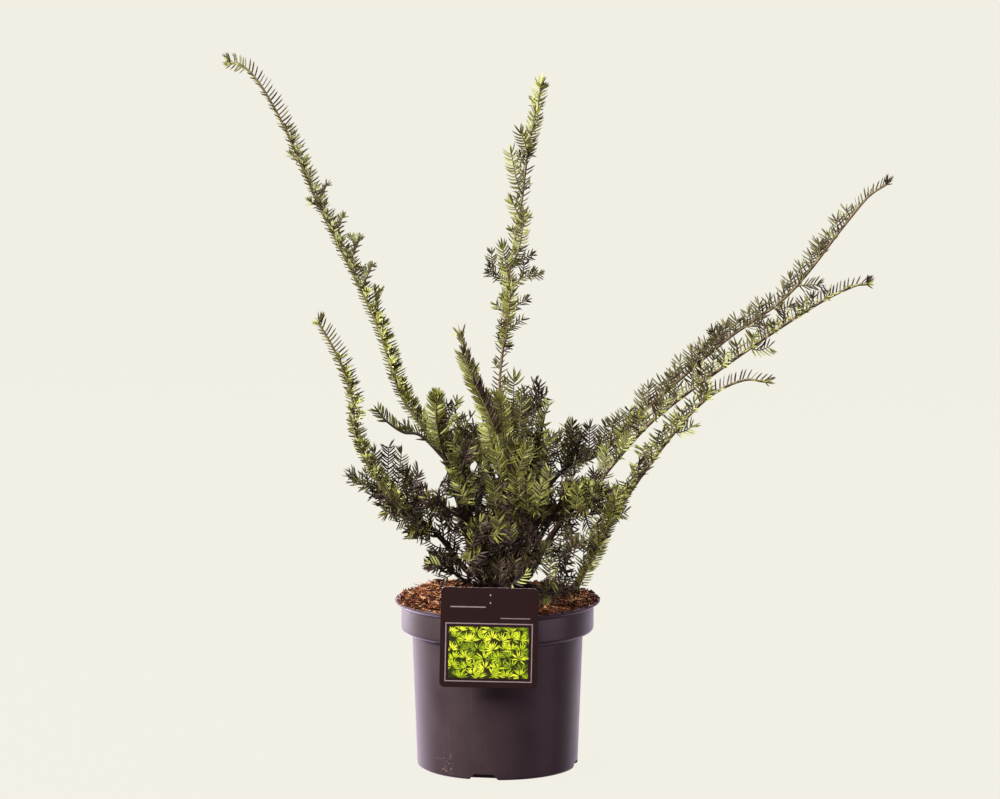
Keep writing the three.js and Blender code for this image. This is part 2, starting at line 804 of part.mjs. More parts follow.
// A mass: its stem, its twigs and their needles as one body, clear of its bough.
function makeMass(name) {
  const random = seededRandom(masses[name].seed + 1000);
  const { stemFootRadius, stemTipRadius, twigFootRadius, twigTipRadius, twigRootRadius } = branching;
  const stem = stems[name];
  const parts = [twigSolid(stem, stemFootRadius, stemTipRadius)];
  parts.push(...needlePairs(stem, needles.stemStep, 9, name, random));
  for (const path of twigPaths(name)) {
    parts.push(twigSolid(path, twigFootRadius, twigTipRadius, twigRootRadius));
    parts.push(...needlePairs(path, needles.twigStep, 8, name, random));
  }
  let solid = parts[0];
  for (const part of parts.slice(1)) {
    solid = solid.add(part);
  }
  return mainBody(solid.subtract(makeBough(masses[name].from[0], gap)));
}

const group = new THREE.Group();

function addPiece(name, shape, color, roughness) {
  const geometry = shape.isBufferGeometry ? shape : toGeometry(shape);
  const mesh = new THREE.Mesh(geometry, new THREE.MeshStandardMaterial({ color, roughness, metalness: 0 }));
  mesh.name = name;
  group.add(mesh);
  return mesh;
}

addPiece('pot', makePot(), 0x3a2f38, 0.45);
addPiece('soil', makeSoil(), 0x7a4e30, 0.95);

const cardMesh = addPiece('label_card', makeCard(), 0x2c1a1c, 0.35);
cardMesh.position.set(card.centreX, card.backY, card.centreZ);
cardMesh.rotation.set(Math.PI / 2, 0, radians(card.rollDegrees), 'YXZ');
addPiece('label_strip', makeStrip(), 0xd8d8d4, 0.4);

addPiece('trunk', makeTrunk(0), 0x5a4334, 0.9);
const trunkSpace = makeTrunk(gap);
for (const name of Object.keys(boughs)) {
  addPiece(name, mainBody(makeBough(name, 0).subtract(trunkSpace)), 0x6a4d36, 0.9);
}
for (const name of Object.keys(masses)) {
  addPiece(name, makeMass(name), 0x3f5a22, 0.6);
}

export default group;
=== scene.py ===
# A dwarf japanese yew in its nursery pot: long needled whips over a dense crown, bark, peat and a label card.

import math

import bpy
import numpy as np
from mathutils import Euler, Matrix, Vector


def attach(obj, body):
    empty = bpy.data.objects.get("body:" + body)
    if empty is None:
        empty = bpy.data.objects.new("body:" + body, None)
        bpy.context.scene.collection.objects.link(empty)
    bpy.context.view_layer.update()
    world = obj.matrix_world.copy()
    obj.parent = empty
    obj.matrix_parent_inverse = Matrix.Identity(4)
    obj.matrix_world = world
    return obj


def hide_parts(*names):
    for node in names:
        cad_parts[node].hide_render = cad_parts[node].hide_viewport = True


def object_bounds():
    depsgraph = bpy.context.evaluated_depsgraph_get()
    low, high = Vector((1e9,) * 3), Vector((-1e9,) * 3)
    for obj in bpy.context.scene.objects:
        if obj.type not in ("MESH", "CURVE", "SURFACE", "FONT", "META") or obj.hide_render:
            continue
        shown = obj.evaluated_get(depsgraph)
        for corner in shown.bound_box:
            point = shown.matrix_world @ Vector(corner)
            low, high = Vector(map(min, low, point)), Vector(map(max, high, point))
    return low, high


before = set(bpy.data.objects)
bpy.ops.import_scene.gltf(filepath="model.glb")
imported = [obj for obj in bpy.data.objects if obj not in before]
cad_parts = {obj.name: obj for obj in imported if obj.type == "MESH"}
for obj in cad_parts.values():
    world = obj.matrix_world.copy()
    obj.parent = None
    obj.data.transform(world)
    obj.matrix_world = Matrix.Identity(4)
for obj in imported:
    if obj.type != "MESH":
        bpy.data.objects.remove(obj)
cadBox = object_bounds()
mm = 0.001
up = Vector((0, 0, 1))


# Small helpers

def deselectAll():
    if bpy.context.mode != "OBJECT":
        bpy.ops.object.mode_set(mode="OBJECT")
    bpy.ops.object.select_all(action="DESELECT")


def makeActive(piece, *others):
    deselectAll()
    for selected in (piece, *others):
        selected.select_set(True)
    bpy.context.view_layer.objects.active = piece


def editAll():
    bpy.ops.object.mode_set(mode="EDIT")
    bpy.ops.mesh.select_all(action="SELECT")


def endEditing():
    # All faces are turned outwards first.
    bpy.ops.mesh.select_all(action="SELECT")
    bpy.ops.mesh.normals_make_consistent(inside=False)
    bpy.ops.object.mode_set(mode="OBJECT")


def joinPieces(pieces):
    makeActive(*pieces)
    bpy.ops.object.join()
    return bpy.context.object


def removePieces(*pieces):
    makeActive(*pieces)
    bpy.ops.object.delete()


def applyModifier(piece, kind, **settings):
    makeActive(piece)
    bpy.ops.object.modifier_add(type=kind)
    modifier = piece.modifiers[-1]
    for name, value in settings.items():
        setattr(modifier, name, value)
    bpy.ops.object.modifier_apply(modifier=modifier.name)


def addRelief(piece, layers, direction, midLevel, group=""):
    # Each layer is a texture's name and kind, its grain in millimetres and the height that it gives.
    for name, kind, grain, height in layers:
        texture = bpy.data.textures.new(name, kind)
        texture.noise_scale = grain * mm
        applyModifier(piece, "DISPLACE", texture=texture, texture_coords="LOCAL", direction=direction,
                      strength=height * mm, mid_level=midLevel, vertex_group=group)


def smoothByAngle(piece, degrees):
    makeActive(piece)
    bpy.ops.object.shade_smooth_by_angle(angle=math.radians(degrees))


def finishPiece(piece, slot, nodes, *materials):
    for material in materials:
        piece.data.materials.append(material)
    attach(piece, "root")
    if nodes:
        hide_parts(*nodes)


def addObject(name, data):
    piece = bpy.data.objects.new(name, data)
    bpy.context.scene.collection.objects.link(piece)
    return piece


def meshPiece(name, points, faces, materialOfFace=None):
    mesh = bpy.data.meshes.new(name)
    mesh.from_pydata(points, [], faces)
    if materialOfFace is not None:
        mesh.polygons.foreach_set("material_index", materialOfFace)
    mesh.update()
    return addObject(name, mesh)


def tubes(name, limbs, sides, materials=()):
    # Tapering limbs as one mesh: each is a path, the radius at its foot and tip, and a material number.
    data = bpy.data.curves.new(name, "CURVE")
    data.dimensions = "3D"
    data.bevel_depth = 1
    data.bevel_resolution = (sides - 4) // 2  # none gives four sides, and each step adds two
    data.use_fill_caps = True
    for material in materials:
        data.materials.append(material)
    for path, footRadius, tipRadius, number in limbs:
        spline = data.splines.new("POLY")
        spline.points.add(len(path) - 1)
        spline.material_index = number
        for i, point in enumerate(spline.points):
            share = i / (len(path) - 1)
            point.co = (*path[i], 1)
            point.radius = (footRadius + (tipRadius - footRadius) * share) * mm
    makeActive(addObject(name, data))
    bpy.ops.object.convert(target="MESH")
    return bpy.context.object


def triangleCount(piece):
    return sum(len(face.vertices) - 2 for face in piece.data.polygons)


# Camera

cameraPlace = {
    "location": (0.0027, -5.5, 1.2),
    "pitchDegrees": 8.2,
    "lens": 182.5,
    "sensor": 36,
    "clipEnd": 200,  # metres, past the floor's far edge
}


def makeCamera():
    data = bpy.data.cameras.new("camera")
    data.lens = cameraPlace["lens"]
    data.sensor_width = cameraPlace["sensor"]
    data.clip_end = cameraPlace["clipEnd"]
    camera = addObject("camera", data)
    camera.location = cameraPlace["location"]
    camera.rotation_euler = (math.radians(90 - cameraPlace["pitchDegrees"]), 0, 0)
    bpy.context.scene.camera = camera


makeCamera()
print("camera placed")


# Materials

def toLinear(hexColour):
    channels = [int(hexColour[i:i + 2], 16) / 255 for i in (1, 3, 5)]
    return (*(c / 12.92 if c < 0.04045 else ((c + 0.055) / 1.055) ** 2.4 for c in channels), 1)


def setInputs(tree, node, inputs):
    # Each is a socket to link to, or a plain value.
    for name, value in inputs.items():
        if isinstance(value, bpy.types.NodeSocket):
            tree.links.new(value, node.inputs[name])
        else:
            node.inputs[name].default_value = value


def addNode(tree, kind, inputs=None, take=None, stops=(), **settings):
    # It gives back the output to take, or else the first in use. The stops are the places and colours of a
    # colour ramp, whose two own stops are filled first.
    node = tree.nodes.new("ShaderNode" + kind)
    for name, value in settings.items():
        setattr(node, name, value)
    setInputs(tree, node, inputs or {})
    for i, (position, hexColour) in enumerate(stops):
        elements = node.color_ramp.elements
        element = elements[i] if i < 2 else elements.new(position)
        element.position = position
        element.color = toLinear(hexColour)
    return next((output for output in node.outputs if output.enabled and take in (None, output.name)), None)


def newMaterial(name, **constants):
    material = bpy.data.materials.new(name)
    material.use_nodes = True
    tree = material.node_tree
    shader = tree.nodes["Principled BSDF"]
    for socket, value in constants.items():
        shader.inputs[socket.replace("_", " ")].default_value = value
    return material, tree, shader, addNode(tree, "TexCoord", take="Object")


def potPlastic():
    # Polypropylene, injection moulded, tinted a dark aubergine grey: a soft sheen that turns lilac at the
    # edges, a faint flow mottle, upright rub marks, peat dust and painted shade on the lip, and pale scuffs
    # near the foot.
    material, tree, shader, place = newMaterial("moulded_polypropylene", IOR=1.49, Sheen_Weight=0.5,
                                                Sheen_Roughness=0.3, Sheen_Tint=(0.72, 0.62, 1.0, 1))
    mottle = addNode(tree, "TexNoise", {"Vector": place, "Scale": 28, "Detail": 4})  # 35 mm clouds
    base = addNode(tree, "ValToRGB", {"Fac": mottle}, stops=((0.25, "#2a1e24"), (0.75, "#33262c")))
    tall = addNode(tree, "Mapping", {"Vector": place, "Scale": (420, 420, 14)})  # marks 2 by 70 mm
    rubs = addNode(tree, "TexNoise", {"Vector": tall, "Scale": 1, "Detail": 3})
    rubShare = addNode(tree, "MapRange", {"Value": rubs, "From Min": 0.6, "From Max": 0.85, "To Max": 0.09})
    rubbed = addNode(tree, "Mix", {"Factor": rubShare, "A": base, "B": toLinear("#6b5c66")}, data_type="RGBA")
    specks = addNode(tree, "TexNoise", {"Vector": place, "Scale": 420, "Detail": 5})  # 2 mm chips
    chips = addNode(tree, "MapRange", {"Value": specks, "From Min": 0.63, "From Max": 0.66, "To Max": 0.8})
    # The scrape lies low on the left of the front, 9 mm round and faded out at 16 mm.
    toScrape = addNode(tree, "VectorMath", {0: place, 1: (-0.056, -0.069, 0.016)}, operation="DISTANCE")
    nearScrape = addNode(tree, "MapRange", {"Value": toScrape, "From Min": 0.016, "From Max": 0.009})
    scrape = addNode(tree, "Math", {0: nearScrape, 1: chips}, operation="MULTIPLY")
    scuffed = addNode(tree, "Mix", {"Factor": scrape, "A": rubbed, "B": toLinear("#b3a6ac")},
                      data_type="RGBA")
    height = addNode(tree, "SeparateXYZ", {"Vector": place}, take="Z")
    # Peat dust and painted shade, standing in for the peat's dark reflection, lie on the lip's uppermost 1.5
    # mm.
    lipDustAndShade = addNode(tree, "MapRange",
                    {"Value": height, "From Min": 0.1845, "From Max": 0.1858, "To Max": 0.85})
    dustyAndShaded = addNode(tree, "Mix", {"Factor": lipDustAndShade, "A": scuffed, "B": toLinear("#33211d")}, data_type="RGBA")
    rough = addNode(tree, "MapRange", {"Value": mottle, "From Min": 0.3, "From Max": 0.7,
                                       "To Min": 0.38, "To Max": 0.46})
    dull = addNode(tree, "Math", {0: rough, 1: lipDustAndShade}, operation="ADD")
    grain = addNode(tree, "TexNoise", {"Vector": place, "Scale": 700, "Detail": 2})  # 1.4 mm grain
    bump = addNode(tree, "Bump", {"Height": grain, "Strength": 0.08, "Distance": 0.0004})
    setInputs(tree, shader, {"Base Color": dustyAndShaded, "Roughness": dull, "Normal": bump})
    return material


def peatMaterial():
    # Sphagnum peat with bark fibre, milled and moist: crumbs of red brown, orange fibres, and painted shade
    # that turns its hollows near black.
    material, tree, shader, place = newMaterial("milled_peat", Roughness=0.95, Specular_IOR_Level=0.2)
    # Crumbs of 4 mm
    crumbs = addNode(tree, "TexNoise", {"Vector": place, "Scale": 260, "Detail": 6, "Roughness": 0.7})
    # The colour follows the bump's own relief: its lowest places are painted near black as shade.
    colour = addNode(tree, "ValToRGB", {"Fac": crumbs},
                     stops=((0.36, "#0c0302"), (0.72, "#7a3f22"), (0.48, "#2a1007"), (0.6, "#512510")))
    bump = addNode(tree, "Bump", {"Height": crumbs, "Strength": 0.9, "Distance": 0.002})
    setInputs(tree, shader, {"Base Color": colour, "Normal": bump})
    return material


def barkMaterial():
    # Bark of young yew wood: thin purple brown scales that lift and show red brown between them.
    material, tree, shader, place = newMaterial("scaly_bark", Roughness=0.85, Specular_IOR_Level=0.3)
    drawn = addNode(tree, "Mapping", {"Vector": place, "Scale": (1, 1, 0.35)})  # scales run up
    scales = addNode(tree, "TexVoronoi", {"Vector": drawn, "Scale": 330})  # 3 by 8 mm
    stains = addNode(tree, "TexNoise", {"Vector": place, "Scale": 120, "Detail": 5})  # 8 mm stains
    mixed = addNode(tree, "Mix", {"Factor": 0.45, "A": scales, "B": stains})
    colour = addNode(tree, "ValToRGB", {"Fac": mixed},
                     stops=((0.15, "#100a0a"), (0.62, "#3f2d22"), (0.32, "#1d1311"), (0.48, "#2c1e18")))
    bump = addNode(tree, "Bump", {"Height": mixed, "Strength": 0.7, "Distance": 0.0008})
    setInputs(tree, shader, {"Base Color": colour, "Normal": bump})
    return material


def mottledMaterial(name, darkColour, lightColour, roughness, scale, **constants):
    # Two close shades of one stuff in soft patches, which are duller where they are darker
    material, tree, shader, place = newMaterial(name, **constants)
    patches = addNode(tree, "TexNoise", {"Vector": place, "Scale": scale, "Detail": 3})
    colour = addNode(tree, "ValToRGB", {"Fac": patches}, stops=((0.35, darkColour), (0.65, lightColour)))
    rough = addNode(tree, "MapRange", {"Value": patches, "From Min": 0.35, "From Max": 0.65,
                                       "To Min": min(1, roughness + 0.05), "To Max": roughness - 0.05})
    setInputs(tree, shader, {"Base Color": colour, "Roughness": rough})
    return material


def mottledSet(start, roughness, scale, specular, shades):
    # One finish for each kind of a thing, whose name ends in the kind
    return [mottledMaterial(start + kind, *colours, roughness, scale, Specular_IOR_Level=specular)
            for kind, *colours in shades]


def needleMaterial(name, hexColour, roughness):
    # A waxy skin over one plain green, its sheen broken up every 2 mm
    material, tree, shader, place = newMaterial(name, Base_Color=toLinear(hexColour), Specular_IOR_Level=0.28)
    wax = addNode(tree, "TexNoise", {"Vector": place, "Scale": 500, "Detail": 1})
    rough = addNode(tree, "MapRange", {"Value": wax, "From Min": 0.35, "From Max": 0.65,
                                       "To Min": roughness - 0.06, "To Max": roughness + 0.06})
    setInputs(tree, shader, {"Roughness": rough})
    return material


potSkin = potPlastic()
peat = peatMaterial()
bark = barkMaterial()
cardInk = mottledMaterial("varnished_card_print", "#1c0a0c", "#210d10", 0.55, 60, Specular_IOR_Level=0.22)
cardCore = mottledMaterial("cut_card_edge", "#9d8fa4", "#b3a6ba", 0.5, 200)
frameInk = mottledMaterial("grey_pink_print_ink", "#82727a", "#8d7d84", 0.5, 200)
staplePlastic = mottledMaterial("white_tag_plastic", "#9c949a", "#b3abb1", 0.45, 400)
stripPlastic = mottledMaterial("white_sheet_plastic", "#c6c3bf", "#d8d5d1", 0.45, 120)
pictureInks = mottledSet("picture_ink_", 0.5, 300, 0.3, (
    ("ground", "#1a1c06", "#2a3109"), ("shade", "#475c0e", "#5a7210"), ("green", "#86a213", "#9ab518"),
    ("lime", "#bed41c", "#cde026"), ("light", "#dfe93e", "#ebf158")))
crumbTints = mottledSet("peat_crumb_", 0.95, 300, 0.1, (
    ("dark", "#150705", "#2c150d"), ("brown", "#3f2116", "#5c3826"), ("red", "#643521", "#7c4c34"),
    ("pale", "#966446", "#bb8a66")))
fibreTints = mottledSet("root_fibre_", 0.9, 300, 0.1, (
    ("orange", "#7a4428", "#955c3a"), ("brown", "#35180b", "#4d2813"), ("pale", "#a57f5c", "#c49e7a")))

# The needles' upper sides: a shaded one, which is painted shade, then greens from dark to fresh growth
needleTops = [
    needleMaterial("yew_needle_shaded", "#2f211a", 0.55),
    needleMaterial("yew_needle_dark", "#464321", 0.55),
    needleMaterial("yew_needle_olive", "#6a6c2f", 0.55),
    needleMaterial("yew_needle_fresh", "#8a8f55", 0.6),
    needleMaterial("yew_needle_pale", "#989d5a", 0.6),
]
# Their undersides are paler and duller, with two breathing bands.
needleUnders = [
    needleMaterial("needle_underside_sage", "#625f40", 0.6),
    needleMaterial("needle_underside_lime", "#7b7f55", 0.6),
]
# Young shoots: purple brown wood in the crown, then olive, then green where they still grow, and tan on the
# right whips and the lower leader
shootBarks = [
    mottledMaterial("shoot_bark_brown", "#1d1412", "#35261f", 0.75, 250),
    mottledMaterial("shoot_bark_olive", "#453f28", "#6a6238", 0.7, 250),
    mottledMaterial("shoot_bark_green", "#727a3c", "#9aa054", 0.6, 250),
    mottledMaterial("shoot_bark_tan", "#4a3c2c", "#6f5f45", 0.7, 250),
]
print("materials made")


# Stage and light

studio = {
    "paper": (0.879, 0.855, 0.768, 1),  # the pale backdrop, linear, which glows as the camera sees it
    "matt": (0.004, 0.004, 0.004, 1),  # the little light that it gives back, for a faint shadow
    "floorSize": 160,
    "floorHeight": -0.0005,
    "room": (0.19, 0.145, 0.16, 1),  # dim and lilac, before the plant
    "bright": (1.55, 1.35, 1.5, 1),  # behind it
}
# Each lamp's place, the height on the plant's axis that it is aimed at, its width, power and colour
lamps = {
    "left_softbox": ((-2.3, -1.35, 1.5), 0.35, 1.0, 255, (1.0, 0.97, 0.86)),
    "right_softbox": ((1.9, 2.3, 1.3), 0.35, 1.0, 36, (1.0, 0.97, 0.9)),
    "right_reflector": ((2.9, -1.3, 0.5), 0.12, 2.2, 43, (1.0, 0.72, 0.9)),
    "left_rim": ((-2.3, 2.0, 0.6), 0.12, 1.2, 195, (1.0, 0.94, 0.98)),
    "top_softbox": ((0.1, 0.4, 2.8), 0.2, 0.8, 110, (1.0, 0.97, 0.88)),
}


def makeStage():
    deselectAll()
    bpy.ops.mesh.primitive_plane_add(size=studio["floorSize"], location=(0, 0, studio["floorHeight"]))
    floor = bpy.context.object
    floor.name = "floor"
    material = bpy.data.materials.new("pale_paper")
    material.use_nodes = True
    tree = material.node_tree
    tree.nodes.clear()
    glow = addNode(tree, "Emission", {"Color": studio["paper"]})
    matt = addNode(tree, "BsdfDiffuse", {"Color": studio["matt"]})
    both = addNode(tree, "AddShader", {0: glow, 1: matt})
    addNode(tree, "OutputMaterial", {"Surface": both})
    floor.data.materials.append(material)
    floor.visible_diffuse = False
    floor.visible_glossy = False


def makeWorld():
    # Bright paper behind the plant and a dim room before it. The camera sees the paper's own colour.
    world = bpy.data.worlds.new("studio")
    world.use_nodes = True
    bpy.context.scene.world = world
    tree = world.node_tree
    tree.nodes.clear()
    direction = addNode(tree, "TexCoord", take="Generated")
    depth = addNode(tree, "SeparateXYZ", {"Vector": direction}, take="Y")
    behind = addNode(tree, "MapRange", {"Value": depth, "From Min": 0.35, "From Max": 0.9})
    room = addNode(tree, "Mix", {"Factor": behind, "A": studio["room"], "B": studio["bright"]},
                   data_type="RGBA")
    seen = addNode(tree, "LightPath")
    colour = addNode(tree, "Mix", {"Factor": seen, "A": room, "B": studio["paper"]}, data_type="RGBA")
    background = addNode(tree, "Background", {"Color": colour})
    addNode(tree, "OutputWorld", {"Surface": background})


def addLamp(name, place, aimHeight, width, power, colour):
    data = bpy.data.lights.new(name, "AREA")
    data.shape = "DISK"
    data.size = width
    data.energy = power
    data.color = colour
    lamp = addObject(name, data)
    lamp.location = place
    aim = Vector((0, 0, aimHeight)) - Vector(place)
    lamp.rotation_euler = aim.to_track_quat("-Z", "Y").to_euler()


makeStage()
makeWorld()
for lampName, lampSettings in lamps.items():
    addLamp(lampName, *lampSettings)
bpy.context.scene.view_settings.view_transform = "Standard"
print("stage and lights set")


# Pot

pot = {
    "height": 186,
    "baseRadius": 88.6,
    "baseCorner": 3.5,
    "shoulderRadius": 94.3,
    "shoulderHeight": 149,
    "shoulderRound": 1.8,
    "bandRadius": 106,
    "bandFoot": 156,
    "bandRound": 4.6,
    "bandTop": 180,
    "lipHollow": 2.2,
    "lipRadius": 113,
    "lipThickness": 2.4,
    "lipRound": 1.0,
    "wall": 1.6,
    "floor": 2.6,
    "segments": 144,
}
notch = {
    "angles": (260, 350, 80, 170),
    "topWidth": 21,
    "bottomWidth": 34,
    "height": 7,
    "innerRadius": 74,
    "pocketWall": 1.8,
    "holeRadius": 4,
    "holePlace": 79,
    "holeHeight": 7,
    "holeDepth": 8,
}


def arc(centreRadius, centreHeight, radius, fromDegrees, toDegrees, steps):
    angles = [math.radians(fromDegrees + (toDegrees - fromDegrees) * i / steps) for i in range(steps + 1)]
    return [(centreRadius + radius * math.cos(a), centreHeight + radius * math.sin(a)) for a in angles]


def turnOutline(name, outline, segments):
    # A filled disc at the outline's first point; its rim is extruded through the rest and closed at the end.
    deselectAll()
    radius, height = outline[0]
    bpy.ops.mesh.primitive_circle_add(vertices=segments, radius=radius * mm, fill_type="TRIFAN")
    piece = bpy.context.object
    piece.name = name
    editAll()
    bpy.ops.transform.translate(value=(0, 0, height * mm))
    bpy.ops.mesh.region_to_loop()
    for nextRadius, nextHeight in outline[1:]:
        bpy.ops.mesh.extrude_edges_move()
        bpy.ops.transform.translate(value=(0, 0, (nextHeight - height) * mm))
        scale = nextRadius / radius
        bpy.ops.transform.resize(value=(scale, scale, 1), center_override=(0, 0, 0))
        radius, height = nextRadius, nextHeight
    bpy.ops.mesh.extrude_edges_move()
    bpy.ops.mesh.merge(type="CENTER")
    bpy.ops.mesh.select_all(action="SELECT")
    bpy.ops.mesh.remove_doubles(threshold=1e-6)
    endEditing()
    return piece


def potOutside():
    corner, shoulder, band = pot["baseCorner"], pot["shoulderRound"], pot["bandRound"]
    hollow, lip = pot["lipHollow"], pot["lipRound"]
    return [
        *arc(pot["baseRadius"] - corner, corner, corner, -90, 0, 6),
        (pot["shoulderRadius"] - 0.3, pot["shoulderHeight"] - 2),  # the body's top, just under the shoulder
        *arc(pot["shoulderRadius"] + 1.6, pot["shoulderHeight"] - 1.4, shoulder, 160, 100, 3),
        *arc(pot["bandRadius"] - band, pot["bandFoot"], band, -66, 0, 7),  # the band's bellied foot
        (pot["bandRadius"], pot["bandTop"] - 1.5),
        *arc(pot["bandRadius"] + hollow, pot["bandTop"] - 1, hollow, 180, 120, 4),  # out under the lip
        *arc(pot["lipRadius"] - lip, pot["height"] - pot["lipThickness"] + lip, lip, -60, 0, 3),
        *arc(pot["lipRadius"] - lip, pot["height"] - lip, lip, 0, 90, 4),
    ]


def potInside():
    # The same steps a wall's thickness further in, and out over the lip's inner edge
    wall = pot["wall"]
    return [
        (pot["baseRadius"] - wall, pot["floor"]),
        (pot["shoulderRadius"] - wall, pot["shoulderHeight"] + 1.4),
        (pot["bandRadius"] - wall - 2, pot["shoulderHeight"] + 3.4),
        (pot["bandRadius"] - wall, pot["bandFoot"]),
        (pot["bandRadius"] - wall, pot["bandTop"] + 1),
        (pot["bandRadius"] - wall + 2.2, pot["height"] - 1.2),
        (pot["bandRadius"] - wall + 3.4, pot["height"]),
        (pot["bandRadius"] - wall + 3.6, pot["height"] + 4),
    ]


def notchWedges(extra):
    # Four wedges across the foot, wider at the bottom, joined in one mesh. They go on 1 mm under the foot.
    depth = pot["lipRadius"] - notch["innerRadius"] + extra
    top = notch["topWidth"] + 2 * extra
    height = notch["height"] + extra + 1
    move = Matrix.Translation(((notch["innerRadius"] - extra + depth / 2) * mm, 0, (height / 2 - 1) * mm))
    wedges = []
    for degrees in notch["angles"]:
        deselectAll()
        bpy.ops.mesh.primitive_cube_add(size=1)
        wedge = bpy.context.object
        wedge.data.transform(move @ Matrix.Diagonal((depth * mm, top * mm, height * mm, 1)))
        for vertex in wedge.data.vertices:
            if vertex.co.z < 0:
                vertex.co.y *= (notch["bottomWidth"] + 2 * extra) / top
        wedge.data.transform(Matrix.Rotation(math.radians(degrees), 4, "Z"))
        wedges.append(wedge)
    return joinPieces(wedges)


def drainHoles():
    holes = []
    for degrees in notch["angles"]:
        angle = math.radians(degrees)
        place = Vector((math.cos(angle), math.sin(angle), 0)) * notch["holePlace"] + up * notch["holeHeight"]
        deselectAll()
        bpy.ops.mesh.primitive_cylinder_add(vertices=24, radius=notch["holeRadius"] * mm,
                                            depth=notch["holeDepth"] * mm, location=place * mm)
        holes.append(bpy.context.object)
    drill = joinPieces(holes)
    bpy.ops.object.transform_apply(location=True, rotation=True, scale=True)
    return drill


def makePot():
    shell = turnOutline("pot_shell", potOutside(), pot["segments"])
    cavity = turnOutline("pot_cavity", potInside(), pot["segments"])
    pockets = notchWedges(notch["pocketWall"])
    notches = notchWedges(0)
    holes = drainHoles()
    applyModifier(cavity, "BOOLEAN", operation="DIFFERENCE", object=pockets, solver="EXACT")
    for cutter in (cavity, notches, holes):
        applyModifier(shell, "BOOLEAN", operation="DIFFERENCE", object=cutter, solver="EXACT")
    removePieces(cavity, pockets, notches, holes)
    smoothByAngle(shell, 32)
    finishPiece(shell, "pot", ["pot"], potSkin)


makePot()
print("pot turned")


# Peat

soil = {
    "crownHeight": 191,
    "flatRadius": 30,
    "midRadius": 70,
    "midHeight": 187,
    "edgeHeight": 183.5,
    "heaps": ((-62, 66, 22, 9), (-84, 10, 18, 3), (74, 30, 22, 3), (-70, -20, 20, 2)),  # X, Y, spread, rise
    "gap": 0.3,
    "turnedTop": 180,  # mm, the turned mound's flat top, before it is raised
    "ringStep": 2.6,
    "segments": 180,
    "relief": (("heaps", "CLOUDS", 20, 5.5), ("clods", "CLOUDS", 8, 5.0), ("grit", "STUCCI", 2.5, 1.4)),
    "quietEdge": 12,  # mm, over which the relief fades out at the wall
    "spread": 111.5,  # mm, how far crumbs lie out over the lip
    "crumbs": 7600,
    "crumbSize": (0.7, 3.6),
    "crumbShares": (0.42, 0.35, 0.17, 0.06),  # how often each tint is dealt out
    "fibres": 1700,
    "fibreLength": (7, 22),
    "fibreRadii": (0.504, 0.168),  # at its two ends
    "fibreSpread": 0.93,  # how far out they lie, as a share of the crumbs' spread
    "fibreShares": (0.38, 0.36, 0.26),
}
anyTurn = 6.28  # a full turn, for directions drawn at random


def soilHeight(x, y):
    # The mound's height in millimetres, with the heaps that stand at its edge
    edge = pot["bandRadius"] - pot["wall"]
    marks = (0, soil["flatRadius"], soil["midRadius"], edge)
    heights = (soil["crownHeight"], soil["crownHeight"], soil["midHeight"], soil["edgeHeight"])
    heaped = sum(rise * np.exp(-((x - hx) ** 2 + (y - hy) ** 2) / (2 * spread ** 2))
                 for hx, hy, spread, rise in soil["heaps"])
    return np.interp(np.hypot(x, y), marks, heights) + heaped


def makeMound():
    # Turned to lie a gap's width inside the pot's steps, then its flat top is raised and roughened
    gap = soil["gap"]
    edge = pot["bandRadius"] - pot["wall"] - gap
    rings = int((edge - 1) / soil["ringStep"])
    outline = [
        (pot["baseRadius"] - pot["wall"] - gap - 0.5, notch["height"] + notch["pocketWall"] + gap),
        (pot["shoulderRadius"] - pot["wall"] - gap, pot["shoulderHeight"] + 1.4),
        (edge - 2, pot["shoulderHeight"] + 4.2),
        (edge, pot["bandFoot"] + 0.6),
        *((edge + (1 - edge) * i / (rings - 1), soil["turnedTop"]) for i in range(rings)),
    ]
    mound = turnOutline("peat_mound", outline, soil["segments"])
    top = mound.vertex_groups.new(name="top")
    for vertex in mound.data.vertices:
        x, y, z = vertex.co
        if z > (soil["turnedTop"] - 5) * mm:
            vertex.co.z = (soilHeight(x / mm, y / mm) - 1) * mm
            weight = (edge * mm - math.hypot(x, y)) / (soil["quietEdge"] * mm)
            top.add([vertex.index], min(1, max(0, weight)), "REPLACE")
    addRelief(mound, soil["relief"], "Z", 0.5, "top")
    smoothByAngle(mound, 60)
    finishPiece(mound, "soil", ["soil"], peat)
    return mound


def groundHeight(mound, x, y):
    # Straight down on the mound from above it; beside it lies the pot's lip.
    hit, place, *_ = mound.ray_cast((x, y, 0.3), (0, 0, -1))
    return place.z if hit else (pot["height"] - 0.4) * mm


def randomPlaceOnPeat(rng):
    radius = soil["spread"] * mm * rng.random() ** 0.42  # a little denser towards the edge
    angle = 2 * math.pi * rng.random()
    return radius * math.cos(angle), radius * math.sin(angle)


